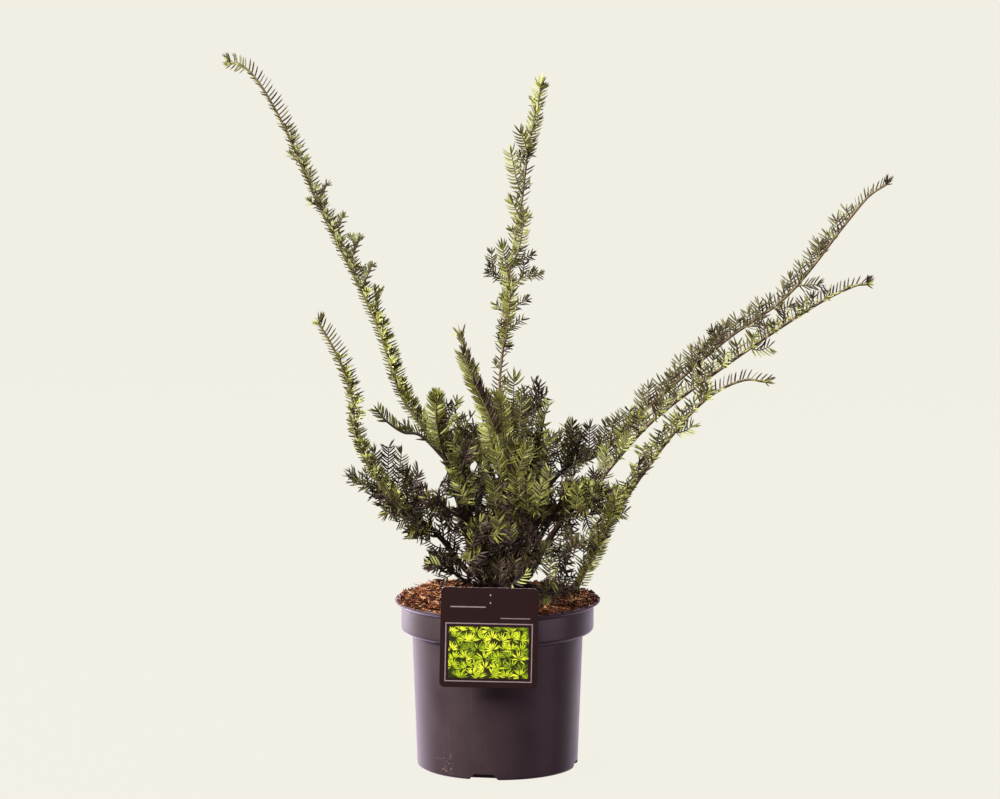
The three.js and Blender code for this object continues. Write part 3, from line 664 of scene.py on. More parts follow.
def makeCrumbs(mound):
    # Each crumb is an uneven lump of eight faces, turned and squashed at random, half sunk in the mound.
    rng = np.random.default_rng(5)
    corners = np.array([(1, 0, 0), (0, 1, 0), (-1, 0, 0), (0, -1, 0), (0, 0, 0.8), (0, 0, -0.8)])
    sides = [(0, 1, 4), (1, 2, 4), (2, 3, 4), (3, 0, 4), (1, 0, 5), (2, 1, 5), (3, 2, 5), (0, 3, 5)]
    points, faces, tints = [], [], []
    low, high = soil["crumbSize"]
    for _ in range(soil["crumbs"]):
        x, y = randomPlaceOnPeat(rng)
        size = (low + (high - low) * rng.random() ** 2.2) * mm  # many small, few large
        lump = corners * rng.uniform(0.7, 1.3, (6, 1))
        lump = lump * (size, size * rng.uniform(0.5, 1), size * 0.6)
        turn = np.array(Euler(rng.random(3) * anyTurn).to_matrix())
        place = (x, y, groundHeight(mound, x, y) + 0.15 * size)
        first = len(points)
        points.extend((lump @ turn.T + place).tolist())
        faces.extend([tuple(first + k for k in side) for side in sides])
        tints.extend([int(rng.choice(len(crumbTints), p=soil["crumbShares"]))] * len(sides))
    crumbs = meshPiece("peat_crumbs", points, faces, tints)
    finishPiece(crumbs, "soil", [], *crumbTints)


def makeFibres(mound):
    # Loose root and bark fibres, each a thin bent strand of four steps lying in the crumbs
    rng = np.random.default_rng(6)
    wall = (pot["bandRadius"] - 1) * mm
    strands = []
    for _ in range(soil["fibres"]):
        x, y = (soil["fibreSpread"] * value for value in randomPlaceOnPeat(rng))
        step = rng.uniform(*soil["fibreLength"]) / 4 * mm
        heading = rng.random() * anyTurn
        bend = rng.uniform(-0.5, 0.5)
        lean = 0.22 * rng.random() ** 3  # most lie flat
        z = groundHeight(mound, x, y)
        path = []
        for i in range(5):
            inward = min(1, wall / max(math.hypot(x, y), 1e-6))
            path.append((x * inward, y * inward, z + 0.0005 + i * step * lean))
            x += math.cos(heading) * step
            y += math.sin(heading) * step
            heading += bend
        strands.append((path, *soil["fibreRadii"], int(rng.choice(len(fibreTints), p=soil["fibreShares"]))))
    finishPiece(tubes("peat_fibres", strands, 4, fibreTints), "soil", [])


peatMound = makeMound()
makeCrumbs(peatMound)
makeFibres(peatMound)
print("peat filled in")


# Label card

card = {
    "width": 106,
    "height": 110,
    "thickness": 0.6,
    "corner": 5.5,
    "centreX": -9,
    "centreZ": 163.8,
    "backY": -114.4,
    "rollDegrees": -1.2,
    "ink": 0.04,  # how thick the printed lines stand
    "frame": {"centre": (-0.3, -16.3), "size": (94.4, 64.6), "line": 1.1},
    "picture": {"centre": (-0.4, -16.4), "size": (86.5, 56.5), "thickness": 0.05},
    "rules": (((-23.6, 33.6), (38, 1.3)), ((27.8, 21.6), (32, 0.9))),
    "staples": ((0.6, 46.7), (0.6, 38.3)),
    "staple": {"size": (1.3, 1.8), "corner": 0.5, "thickness": 0.18, "edge": 0.05},
}
strip = {
    "width": 14,
    "thickness": 1,
    "topZ": 214,
    "legY": -102,
    "legFootZ": 160,
    "gap": 0.3,
    "edge": 0.25,
}


def onCard(height):
    # From the card's own plane, X right and Y up, to its place before the pot, that far out of its back.
    centre = Vector((card["centreX"], card["backY"] - height, card["centreZ"])) * mm
    roll = Matrix.Rotation(math.radians(-card["rollDegrees"]), 4, "Y")
    upright = Matrix.Rotation(math.pi / 2, 4, "X")
    return Matrix.Translation(centre) @ roll @ upright @ Matrix.Diagonal((mm, mm, mm, 1))


def plateOnCard(name, centre, size, corner, lift, thickness, line=0):
    # A flat plate with rounded corners, or only a line round it: a plane, bevelled or inset, and made thick.
    deselectAll()
    bpy.ops.mesh.primitive_plane_add(size=1)
    plate = bpy.context.object
    plate.name = name
    plate.data.transform(Matrix.Translation((*centre, 0)) @ Matrix.Diagonal((*size, 1, 1)))
    editAll()
    if corner:
        bpy.ops.mesh.bevel(offset=corner, segments=6, affect="VERTICES")
        bpy.ops.mesh.select_all(action="SELECT")
    if line:
        bpy.ops.mesh.inset(thickness=line)
        bpy.ops.mesh.delete(type="FACE")
        bpy.ops.mesh.select_all(action="SELECT")
    bpy.ops.mesh.extrude_region_move(TRANSFORM_OT_translate={"value": (0, 0, thickness)})
    endEditing()
    plate.data.transform(onCard(lift))
    return plate


def makeCardPlate():
    # Print on its face and back, and the bare card at its edge
    size = (card["width"], card["height"])
    plate = plateOnCard("card_plate", (0, 0), size, card["corner"], 0, card["thickness"])
    finishPiece(plate, "card", ["label_card"], cardInk, cardCore)
    facing = (onCard(0).to_3x3() @ up).normalized()
    for face in plate.data.polygons:
        face.material_index = 0 if abs(face.normal.dot(facing)) > 0.5 else 1


def makeFrameAndRules():
    parts = [("card_frame_line", card["frame"]["centre"], card["frame"]["size"], card["frame"]["line"])]
    parts += [(f"card_rule_{number}", *rule, 0) for number, rule in enumerate(card["rules"], 1)]
    for name, centre, size, line in parts:
        piece = plateOnCard(name, centre, size, 0, card["thickness"], card["ink"], line)
        finishPiece(piece, "card", [], frameInk)


def makeStaples():
    staple = card["staple"]
    for number, centre in enumerate(card["staples"], 1):
        head = plateOnCard(f"card_staple_{number}", centre, staple["size"], staple["corner"],
                           card["thickness"], staple["thickness"])
        applyModifier(head, "BEVEL", width=staple["edge"] * mm, segments=2)
        finishPiece(head, "card", [], staplePlastic)


# The card's picture: tufts of blades, each a fan, drawn in flat inks on a dark ground.
picture = {
    "rows": 6,
    "tuftsPerRow": 9,
    "tuftScatter": 0.35,  # to either side, as a share of the step from tuft to tuft
    "left": -0.47,  # the first tuft and the top row, as shares of the picture
    "top": 0.46,
    "rowsShare": 1.05,
    "leanDegrees": 55,  # how far a tuft leans to either side
    "light": (1.7, 4.3),  # a tuft's ink, from dark to light
    "blades": 13,
    "fanDegrees": 190,
    "bladeScatterDegrees": 8,
    "bladeStart": 1.2,
    "bladeLength": 9.5,
    "bladeWidth": 1.35,
    "lift": 0.06,
    "rowLift": 0.008,
    "bladeLift": 0.0005,
}


def makePicture():
    rng = np.random.default_rng(8)
    size = np.array(card["picture"]["size"])
    centre = np.array(card["picture"]["centre"])
    thickness = card["picture"]["thickness"]
    ground = plateOnCard("card_picture_ground", centre, size, 0, card["thickness"], thickness)
    finishPiece(ground, "card", [], pictureInks[0])
    points, faces, inks = [], [], []
    for row in range(picture["rows"]):
        for tuft in range(picture["tuftsPerRow"]):
            # Every second row stands half a step aside.
            place = tuft + 0.5 * (row % 2) + rng.uniform(-1, 1) * picture["tuftScatter"]
            down = (row + 0.5 * rng.random()) / picture["rows"] * picture["rowsShare"]
            root = (place / picture["tuftsPerRow"] + picture["left"], picture["top"] - down) * size
            heading = math.radians(90 + rng.uniform(-1, 1) * picture["leanDegrees"])
            light = rng.uniform(*picture["light"])
            for blade in rng.permutation(picture["blades"]):
                share = blade / (picture["blades"] - 1) - 0.5
                scatter = picture["bladeScatterDegrees"] * rng.standard_normal()
                angle = heading + math.radians(picture["fanDegrees"] * share + scatter)
                direction = np.array((math.cos(angle), math.sin(angle)))
                across = np.array((-direction[1], direction[0])) * picture["bladeWidth"] / 2
                start = root + direction * picture["bladeStart"]
                # The fan's outer blades are shorter.
                length = picture["bladeLength"] * rng.uniform(0.7, 1.1) * (1 - 0.5 * share ** 2)
                lift = picture["lift"] + picture["rowLift"] * row + picture["bladeLift"] * blade
                shade = light + rng.uniform(-0.4, 0.5)
                # A lit half and a shaded half
                for edge, darker in ((across, 0), (-across, 1)):
                    first = len(points)
                    belly = start + direction * length * 0.45 + edge
                    for corner in (start, belly, start + direction * length):
                        x, y = np.clip(corner, -size / 2, size / 2) + centre
                        points.append((x, y, lift))
                    faces.append((first, first + 1, first + 2) if darker else (first, first + 2, first + 1))
                    inks.append(int(np.clip(shade - darker + 0.5, 1, len(pictureInks) - 1)))
    blades = meshPiece("card_picture_tufts", points, faces, inks)
    blades.data.transform(onCard(card["thickness"]))
    finishPiece(blades, "card", [], *pictureInks)


def makeStrip():
    # Its side outline, up behind the card, over the lip and down inside, filled and extruded to its width
    thickness, foot, top = strip["thickness"], strip["legFootZ"], strip["topZ"]
    front, leg = card["backY"] + strip["gap"], strip["legY"]
    over = pot["height"] + strip["gap"]
    outline = [
        (front, top), (front, over), (leg, over), (leg, foot), (leg + thickness, foot),
        (leg + thickness, over + thickness), (front + thickness, over + thickness), (front + thickness, top),
    ]
    side = (card["centreX"] - strip["width"] / 2) * mm
    points = [(side, y * mm, z * mm) for y, z in outline]
    piece = meshPiece("card_strip", points, [tuple(range(len(points)))])
    makeActive(piece)
    editAll()
    bpy.ops.mesh.extrude_region_move(TRANSFORM_OT_translate={"value": (strip["width"] * mm, 0, 0)})
    endEditing()
    applyModifier(piece, "BEVEL", width=strip["edge"] * mm, segments=3)
    smoothByAngle(piece, 40)
    finishPiece(piece, "strip", ["label_strip"], stripPlastic)


makeCardPlate()
makeFrameAndRules()
makeStaples()
makePicture()
makeStrip()
print("card hung")


# Trunk and boughs: way-points in millimetres, and the radius at the foot and the tip

trunk = {
    "centreX": 5,
    "lean": 1.5,
    "neckRadius": 12,
    "footHeight": 191.3,
    "stumpHeight": 18,
    "roots": 5,
    "rootPath": ((4, 12), (10, 3), (16.5, -4)),  # out from the axis and up from the foot
    "rootRadii": (5.5, 4.2),
    "arms": (
        ([(4, 0, 202), (-12, 0, 206), (-25, -1, 217)], 9, 6.6),
        ([(7, 1, 202), (7, 1, 211), (7, 2, 221)], 9.5, 7.6),
        ([(8, 0, 202), (23, -1, 206), (36, -2, 217)], 9, 6.6),
    ),
    "voxel": 1.1,
}
boughs = {
    "left_bough": ([(-23, 0, 213), (-34, 8, 258), (-49, 14, 314), (-61, 18, 347)], 5.2, 2.8),
    "low_left_bough": ([(-8, -4, 203), (-33, -20, 220), (-66, -24, 262), (-100, -29, 290)], 4.6, 2.6),
    "inner_left_bough": ([(-17, -2, 211), (-16, -13, 238), (-33, -12, 288)], 3.8, 2.4),
    "back_left_bough": ([(-13, 2, 207), (-20, 25, 227), (-22, 62, 264)], 4.2, 2.6),
    "leader_bough": ([(6, 4, 217), (6, 9, 262), (8, 11, 320), (6, 10, 372)], 5.6, 3.2),
    "second_bough": ([(6, -2, 211), (-1, -15, 250), (6, -20, 318)], 4.2, 2.6),
    "front_bough": ([(6, -3, 207), (8, -22, 209), (10, -40, 213)], 4.4, 3),
    "back_bough": ([(6, 5, 208), (2, 36, 218), (4, 70, 236)], 4.2, 2.6),
    "right_upper_bough": ([(22, 2, 207), (34, 20, 246), (56, 30, 306), (84, 36, 331)], 5, 3),
    "right_middle_bough": ([(35, -2, 214), (54, -14, 250), (78, -24, 286), (106, -32, 312)], 4.8, 2.8),
    "right_low_bough": ([(14, -6, 203), (40, -29, 204), (64, -48, 204), (84, -60, 209)], 4.2, 2.8),
    "right_inner_bough": ([(25, -3, 208), (36, -23, 234), (50, -36, 266)], 3.8, 2.5),
    "back_right_bough": ([(11, 5, 213), (23, 34, 238), (34, 64, 268)], 4.2, 2.6),
    "centre_right_bough": ([(11, -1, 210), (23, -3, 256), (23, 1, 316)], 4, 2.5),
    "low_front_bough": ([(0, -6, 203), (-18, -25, 205), (-38, -34, 213)], 3.8, 2.6),
}
# Scales 3 mm wide and ridges 9 mm long, pushed out of the smooth wood
barkRelief = (("scales", "VORONOI", 3.2, 0.7), ("ridges", "CLOUDS", 9, 0.9))


def inMetres(points):
    return [Vector(point) * mm for point in points]


def smoothPath(points, stepsPerSpan):
    # A uniform Catmull-Rom path through the way-points
    ends = [points[0] * 2 - points[1], *points, points[-1] * 2 - points[-2]]
    path = []
    for before, start, end, after in zip(ends, ends[1:], ends[2:], ends[3:]):
        leaving = (end - before) / 2
        arriving = (after - start) / 2
        for step in range(stepsPerSpan):
            t = step / stepsPerSpan
            path.append(start + leaving * t + (3 * (end - start) - 2 * leaving - arriving) * t * t
                        + (2 * (start - end) + leaving + arriving) * t ** 3)
    return [*path, points[-1]]


def makeTrunk():
    # The stump, its root flare and its three arms, melted together and cut flat where they stand
    centre, foot = trunk["centreX"], trunk["footHeight"]
    stump = inMetres([(centre, 0, foot - 8), (centre + trunk["lean"], 0, foot + trunk["stumpHeight"])])
    limbs = [(stump, trunk["neckRadius"] + 1, trunk["neckRadius"] - 1, 0)]
    for i in range(trunk["roots"]):
        angle = 2 * math.pi * (i + 0.3) / trunk["roots"]
        out = Vector((math.cos(angle), math.sin(angle), 0))
        root = [(Vector((centre, 0, foot + rise)) + out * reach) * mm for reach, rise in trunk["rootPath"]]
        limbs.append((smoothPath(root, 5), *trunk["rootRadii"], 0))
    for points, footRadius, tipRadius in trunk["arms"]:
        limbs.append((smoothPath(inMetres(points), 8), footRadius, tipRadius, 0))
    piece = tubes("trunk_bark", limbs, 12)
    applyModifier(piece, "REMESH", mode="VOXEL", voxel_size=trunk["voxel"] * mm)
    applyModifier(piece, "SMOOTH", factor=0.5, iterations=8)
    addRelief(piece, barkRelief, "NORMAL", 0.6)
    editAll()
    bpy.ops.mesh.bisect(plane_co=(0, 0, foot * mm), plane_no=(0, 0, 1), clear_inner=True, use_fill=True)
    endEditing()
    smoothByAngle(piece, 60)
    finishPiece(piece, "bark", ["trunk"], bark)


def makeBoughs():
    # Each a little thinner than its way-points' radii, because the relief stands out
    for name, (points, footRadius, tipRadius) in boughs.items():
        path = smoothPath(inMetres(points), 26)
        piece = tubes(f"{name}_bark", [(path, footRadius - 0.3, tipRadius - 0.2, 0)], 12)
        addRelief(piece, barkRelief, "NORMAL", 0.6)
        smoothByAngle(piece, 60)
        finishPiece(piece, "bark", [name], bark)


makeTrunk()
makeBoughs()
print("trunk and boughs grown")


# Masses of needles. Each stem springs from a bough, so far before the bough's tip, and follows its
# way-points. The first twigs are few and strong; finer ones stand between them.

# Where one value stands for two, it holds for both.
crownHabit = {
    "every": 9,  # mm from one finer twig to the next
    "twigsUpTo": 0.97,  # the share of the stem that has finer twigs
    "twigLength": 36,  # mm, near the stem's foot
    "taper": 0.5,  # how much shorter the twigs get towards its tip
    "rising": 0.1,  # how far they lean out of their spray's plane, to its upper side
    "fan": 0.85,  # how far a spray turns its face to the plant's nearer broad side
    "pitch": 3.3,  # mm from needle to needle in one rank, at the shoot's foot and tip
    "needleSize": (12, 1.75),
    "bend": 0.16,  # how far a needle curves towards the shoot's tip
    "tipNeedles": 5,
    "angle": 57,  # degrees between the near and the far rank and the shoot
    "shares": 1,  # the length of the near and the far rank's needles
    "spread": 0.15,  # from two flat ranks, 0, to a brush all round the shoot, 1
    "lift": 0.2,  # how strongly the near and the far rank rise to the shoot's upper side
    "tints": "mixed",  # how the sprays of the near and the far rank are dealt out; a darker far rank is painted shade
    "barks": (0, 0, 0),  # the bark of the stem's lower and upper half, and of its twigs
    "stem": (2.1, 1.0),  # mm, its radius at the foot and the tip
    "ranks": "near",  # the first rank points to the viewer's side, or to the left; its lighter tint is painted light
    "faceOut": 0.0,  # how far the needles' flat sides are turned to the plant's nearer broad side
    "ofTwigs": {},  # what differs on the twigs
    "ofSprays": {},  # what differs on the sprays
}
whipHabit = {
    **crownHabit, "twigsUpTo": 0.8, "twigLength": 16, "taper": 0.45, "rising": 1.3, "fan": 0.15,
    "pitch": (2.6, 4.3), "needleSize": (15, 1.8), "bend": 0.1, "tipNeedles": 18, "angle": (62, 84),
    "shares": (0.62, 1), "spread": 0.12, "lift": (-0.7, 2.4), "tints": ("lime", "far"), "barks": (1, 1, 1),
    "stem": (2.1, 1.3), "faceOut": 0.5,
    "ofTwigs": {
        "needleSize": (9, 1.8), "pitch": 1.8, "spread": 0.5, "lift": 0.3, "fan": 0.6, "angle": 55,
        "shares": 1, "tipNeedles": 6, "tints": ("fresh", "lime"),
    },
}
bushyWhip = {
    **whipHabit, "group": "right_whips", "every": 15, "twigsUpTo": 0.88, "twigLength": 24, "taper": 0.5,
    "pitch": (4.0, 4.6), "lift": (0.5, 2.2), "shares": (0.75, 1), "angle": (62, 70), "rising": 1.4,
    "needleSize": (14, 1.75), "tipNeedles": 16, "barks": (3, 3, 1), "stem": (2.8, 1.3), "spread": 0.3,
    "ofTwigs": {
        "needleSize": (13.5, 1.7), "pitch": 3.3, "spread": 0.12, "lift": 0.3, "fan": 0.75, "angle": 58,
        "shares": 1, "tipNeedles": 5, "tints": ("mixed", "far"),
    },
}
column = {
    **crownHabit, "every": 40, "pitch": 2.8, "angle": 94, "spread": 0.1, "bend": 0.6, "fan": 1,
    "lift": -0.15, "needleSize": (13.5, 2.0), "tints": "fresh", "tipNeedles": 10, "barks": (2, 2, 2),
    "stem": (1.3, 0.7),
    "ofSprays": {"angle": 94, "bend": 0.6, "needleSize": (13, 2.1), "lift": -0.15, "pitch": 2.6},
}
dark = {"tints": "dark"}
left = {**crownHabit, "group": "left_crown"}
leftDark = {**left, **dark}
middle = {**crownHabit, "group": "middle_crown"}
middleDark = {**middle, **dark}
right = {**crownHabit, "group": "right_crown"}
rightDark = {**right, **dark}
back = {**crownHabit, "group": "back_crown", "every": 7, "twigLength": 42, "fan": 0.45}
sprayHabit = {**crownHabit, "fan": 1, "pitch": 3.2}
# The twigs that spring from a bough itself, from this share of it on, and the brush of needles there
boughHabit = {**crownHabit, **dark, "twigLength": 32, "twigsFrom": 0.35}
backBoughHabit = {**boughHabit, "twigLength": 44, "twigsFrom": 0.2, "fan": 0.35}
brush = {"spread": 0.9, "needleSize": (14, 1.8)}
backBoughs = ("back_left_bough", "back_bough", "back_right_bough", "leader_bough")


def grown(bough, before, twigs, reach, seed, path, habit, **changes):
    # The stem's bough and how far before the bough's tip it springs, its first twigs and their reach, its
    # seed, way-points and habit. Tufts are twigs to given tips; a spray has a foot, a tip and a tint.
    return {"bough": bough, "before": before, "twigs": twigs, "reach": reach, "seed": seed,
            "path": path, **habit, **changes}


masses = {
    "left_long_whip": grown(
        "left_bough", 0, 3, 24, 11, [(-105, 22, 407), (-131, 28, 483), (-164, 32, 553), (-198, 38, 621),
        (-232, 42, 699), (-259, 44, 748), (-279, 45, 770), (-293, 46, 773)], whipHabit, group="left_whips",
        needleSize=(16, 1.8), shares=(0.6, 1), pitch=(3.2, 4.6), tipNeedles=34, every=8, twigLength=13,
        sprays=[((-281, 45, 770), (-293, 46, 775), "far")],
        ofSprays={"needleSize": (12.5, 1.7), "angle": 76, "pitch": (3.6, 3.0)},
        tufts=[(-138, 40, 550), (-129, 50, 520), (-122, 36, 471), (-151, 44, 580), (-170, 38, 604),
        (-205, 30, 622), (-188, 50, 638), (-112, 30, 446), (-106, 20, 424)]),
    "left_side_spray": grown(
        "left_bough", 9, 1, 20, 12, [(-84, 14, 365), (-104, 8, 370), (-121, 4, 382), (-131, 2, 394)], left,
        every=60, needleSize=(13, 1.9), lift=0.5, tints="olive", pitch=2.7),
    "left_club": grown(
        "left_bough", 5, 2, 20, 13, [(-63, -10, 362), (-67, -24, 388), (-67, -34, 410)], column,
        group="left_crown", needleSize=(13.5, 2.1), pitch=(2.1, 1.4), tipNeedles=100, spread=0.2,
        angle=(84, 74), bend=0.5, barks=(1, 1, 1), tints=("fresh", "olive"),
        ofTwigs={"needleSize": (8, 1.6), "tints": "dark", "tipNeedles": 4, "pitch": 3.8}),
    "left_upright_spray": grown(
        "left_bough", 14, 2, 22, 14, [(-44, 30, 366), (-47, 28, 394)], leftDark, every=24,
        sprays=[((-57, 4, 372), (-45, 2, 404), "dark"), ((-47, 24, 361), (-29, 22, 385), "dark")]),
    "left_inner_upper_spray": grown(
        "left_bough", 26, 2, 24, 15, [(-30, 10, 344), (-26, 8, 376)], left, every=14,
        sprays=[((-32, 6, 344), (-18, 4, 370), "dark"), ((-39, -6, 326), (-42, -8, 359), "bright")]),
    "left_short_whip": grown(
        "low_left_bough", 0, 2, 20, 21, [(-132, -46, 328), (-154, -50, 372), (-158, -46, 414),
        (-173, -44, 459), (-194, -41, 497)], whipHabit, group="left_whips", pitch=(2.4, 4.0), rising=0.6),
    "left_low_spray": grown(
        "low_left_bough", 7, 3, 24, 22, [(-120, -16, 298), (-142, -18, 314), (-158, -22, 328)], leftDark,
        every=14, twigLength=24, spread=0.3, fan=0.6,
        sprays=[((-131, -30, 314), (-134, -32, 354), "mixed"), ((-120, -24, 309), (-119, -26, 358), "dark"),
        ((-110, -28, 304), (-105, -30, 353), "dark"), ((-102, -30, 293), (-87, -32, 334), "dark"),
        ((-92, -34, 288), (-77, -36, 313), "dark"), ((-137, -34, 317), (-153, -36, 319), "dark")]),
    "left_front_spray": grown(
        "low_left_bough", 10, 2, 24, 23, [(-106, -50, 290), (-116, -62, 292)], leftDark, twigLength=20,
        sprays=[((-103, -50, 295), (-121, -52, 290), "dark"),
        ((-110, -58, 302), (-127, -60, 312), "dark")]),
    "left_mid_spray": grown(
        "low_left_bough", 16, 2, 24, 24, [(-94, -8, 308), (-98, -6, 326)], leftDark, twigLength=20),
    "left_under_spray": grown(
        "low_left_bough", 34, 2, 22, 25, [(-84, -48, 266), (-94, -58, 264)], leftDark, twigLength=20,
        sprays=[((-92, -60, 286), (-108, -62, 282), "dark"), ((-80, -56, 275), (-94, -58, 271), "dark"),
        ((-74, -50, 271), (-86, -52, 262), "dark")]),
    "low_left_tuft": grown(
        "low_front_bough", 0, 3, 24, 31, [(-56, -46, 229), (-72, -54, 240)], left, twigLength=26,
        sprays=[((-52, -52, 229), (-65, -54, 247), "olive"), ((-56, -62, 232), (-72, -64, 236), "mixed"),
        ((-48, -50, 223), (-60, -52, 216), "dark")]),
    "low_front_tuft": grown("low_front_bough", 6, 2, 28, 32, [(-32, -58, 222), (-34, -86, 232)], middle),
    "inner_left_spray": grown(
        "inner_left_bough", 0, 3, 28, 41, [(-36, -26, 326), (-38, -34, 358)], left,
        tints=("olive", "mixed"),
        sprays=[((-34, -50, 300), (-42, -52, 320), "bright"), ((-39, -40, 336), (-30, -42, 362), "dark")]),
    "inner_side_spray": grown(
        "inner_left_bough", 8, 2, 28, 42, [(-20, 0, 318), (-14, -4, 356)], middleDark,
        sprays=[((-10, -10, 340), (-9, -12, 367), "bright")]),
    "inner_outer_spray": grown(
        "inner_left_bough", 16, 3, 28, 43, [(-54, -32, 290), (-66, -42, 306)], leftDark,
        sprays=[((-63, -40, 302), (-77, -42, 304), "dark")]),
    "leader_whip": grown(
        "leader_bough", 0, 4, 20, 51, [(2, 12, 422), (8, 14, 482), (13, 16, 548), (25, 18, 614),
        (35, 20, 691), (48, 22, 746)], whipHabit, group="middle_whips", every=18, twigsUpTo=0.97,
        twigLength=10, taper=0.2, rising=0, angle=58, spread=0.5, lift=0.2, shares=1, pitch=(5.6, 6.0),
        needleSize=(11, 1.6), bend=0.15, tints=("shaft", "far"), tipNeedles=30, barks=(3, 1, 1),
        ranks="left", fan=0.8, stem=(2.1, 1.1),
        ofTwigs={"needleSize": (9, 1.5), "pitch": 2.7, "spread": 0.6, "tipNeedles": 6},
        ofSprays={"angle": 90, "bend": 0.6, "needleSize": (10, 2.1), "lift": -0.2, "pitch": 3.1,
        "spread": 0.2},
        tufts=[(-8, 14, 552), (36, 14, 565), (39, 18, 546), (31, 14, 516), (27, 8, 494), (-1, 20, 509)],
        sprays=[((14, 2, 524), (6, -2, 574), "bright"), ((10, 2, 483), (14, -2, 526), "bright"),
        ((23, 4, 571), (29, 0, 610), "lime"), ((26, 4, 600), (17, 0, 624), "olive"),
        ((21, 8, 648), (15, 4, 678), "lime"), ((32, 8, 681), (26, 6, 699), "olive"),
        ((34, 14, 685), (42, 14, 720), "lime"), ((44, 16, 731), (47, 16, 752), "fresh")]),
    "centre_column": grown(
        "leader_bough", 14, 3, 22, 52, [(8, -18, 382), (-2, -34, 410)], column, group="middle_crown",
        sprays=[((16, -20, 383), (18, -22, 432), "lime"), ((9, -40, 355), (2, -42, 413), "fresh"),
        ((-4, -46, 360), (-14, -48, 405), "fresh"), ((21, -36, 361), (26, -38, 408), "olive")]),
    "second_whip": grown(
        "second_bough", 0, 2, 20, 61, [(2, -38, 350), (-4, -44, 384), (-16, -43, 416), (-29, -41, 450),
        (-39, -42, 483)], whipHabit, group="middle_whips", every=60, pitch=(1.9, 2.1), lift=(-0.6, 0.4),
        needleSize=(16, 2.4), angle=(46, 66), shares=(1, 0.5), barks=(2, 2, 2), stem=(1.4, 0.9),
        faceOut=0.3, tipNeedles=12, tints=("fresh", "olive"),
        sprays=[((-6, -50, 390), (-24, -51, 430), "fresh"), ((-22, -48, 424), (-37, -48, 463), "fresh")],
        ofSprays={"needleSize": (13, 2.0), "angle": 56, "bend": 0.4, "pitch": 2.8, "ranks": "left",
        "tints": ("fresh", "dark")}),
    "centre_front_spray": grown(
        "second_bough", 8, 3, 28, 62, [(22, -42, 338), (22, -60, 364)], middle, tints=("olive", "mixed"),
        sprays=[((5, -64, 328), (-1, -66, 359), "bright"), ((0, -52, 294), (-5, -56, 326), "olive"),
        ((21, -66, 335), (31, -68, 362), "olive"), ((9, -60, 339), (18, -62, 365), "olive")]),
    "centre_right_spray": grown(
        "centre_right_bough", 0, 3, 24, 71, [(28, 4, 372), (45, 6, 420)], middleDark, twigLength=22,
        sprays=[((32, 4, 393), (54, 2, 413), "dark"), ((29, 2, 398), (29, 0, 416), "dark")]),
    "centre_right_front": grown(
        "centre_right_bough", 8, 3, 24, 72, [(42, -18, 350), (52, -24, 396)], middle, twigLength=24,
        sprays=[((46, -26, 378), (56, -28, 405), "bright"), ((53, -44, 343), (59, -46, 372), "olive")]),
    "right_upper_whip": grown(
        "right_upper_bough", 0, 4, 30, 81, [(115, 40, 344), (177, 44, 402), (251, 50, 466), (321, 54, 517),
        (382, 58, 593), (408, 60, 624), (428, 60, 638)], bushyWhip, tints=("shaft", "far"),
        tufts=[(244, 20, 476), (222, 30, 458), (293, 30, 486), (352, 50, 528)],
        sprays=[((141, 20, 359), (150, 18, 384), "bright")]),
    "right_upper_tuft": grown(
        "right_upper_bough", 10, 2, 26, 82, [(80, 46, 350), (84, 44, 368)], rightDark, twigLength=26,
        sprays=[((81, 30, 338), (82, 28, 374), "dark")]),
    "right_outer_tuft": grown(
        "right_upper_bough", 24, 3, 28, 83, [(74, 6, 330), (96, -2, 350)], rightDark, twigLength=28,
        sprays=[((99, 0, 345), (101, -2, 376), "dark"), ((112, 0, 351), (119, -2, 378), "mixed"),
        ((71, 0, 329), (64, -2, 361), "dark")]),
    "right_middle_whip": grown(
        "right_middle_bough", 0, 4, 28, 91, [(126, -34, 341), (175, -38, 395), (266, -42, 464),
        (343, -44, 516), (384, -44, 537), (400, -44, 540)],
        {**bushyWhip, "ofTwigs": {**bushyWhip["ofTwigs"], "tints": ("bright", "far")}},
        tints=("bright", "far"),
        sprays=[((116, -46, 328), (118, -48, 352), "bright"),
        ((135, -48, 357), (142, -50, 372), "bright")]),
    "right_middle_tuft": grown(
        "right_middle_bough", 12, 3, 28, 92, [(104, -60, 306), (102, -84, 316)], right, twigLength=28,
        sprays=[((93, -70, 299), (97, -72, 325), "bright"), ((83, -50, 300), (82, -52, 329), "dark"),
        ((109, -50, 304), (105, -52, 333), "mixed"), ((87, -76, 295), (88, -78, 322), "olive")]),
    "right_under_spray": grown("right_middle_bough", 30, 3, 28, 93, [(102, -12, 282), (128, -8, 290)], right),
    "right_low_whip": grown(
        "right_low_bough", 0, 4, 26, 101, [(105, -66, 245), (135, -71, 303), (188, -74, 378),
        (228, -72, 420), (265, -68, 438), (290, -64, 436)],
        {**bushyWhip, "ofTwigs": {**bushyWhip["ofTwigs"], "tints": ("lime", "shaft")}},
        tints=("bright", "far"), twigLength=28, every=11, twigsUpTo=0.8,
        ofSprays={"needleSize": (11.5, 1.8)},
        sprays=[((92, -66, 218), (110, -74, 258), "bright"), ((107, -68, 246), (123, -76, 289), "olive"),
        ((118, -70, 277), (137, -77, 319), "olive"), ((134, -70, 307), (154, -77, 350), "olive")]),
    "right_low_tuft": grown(
        "right_low_bough", 14, 3, 24, 102, [(64, -76, 206), (50, -92, 208)], rightDark, twigLength=24),
    "right_inner_spray": grown(
        "right_inner_bough", 0, 3, 28, 111, [(66, -54, 298), (74, -64, 328)], right, twigLength=28,
        sprays=[((53, -60, 303), (56, -62, 337), "bright"), ((62, -50, 304), (70, -52, 320), "dark")]),
    "right_centre_spray": grown(
        "right_inner_bough", 7, 3, 30, 112, [(36, -50, 286), (36, -70, 314)], right,
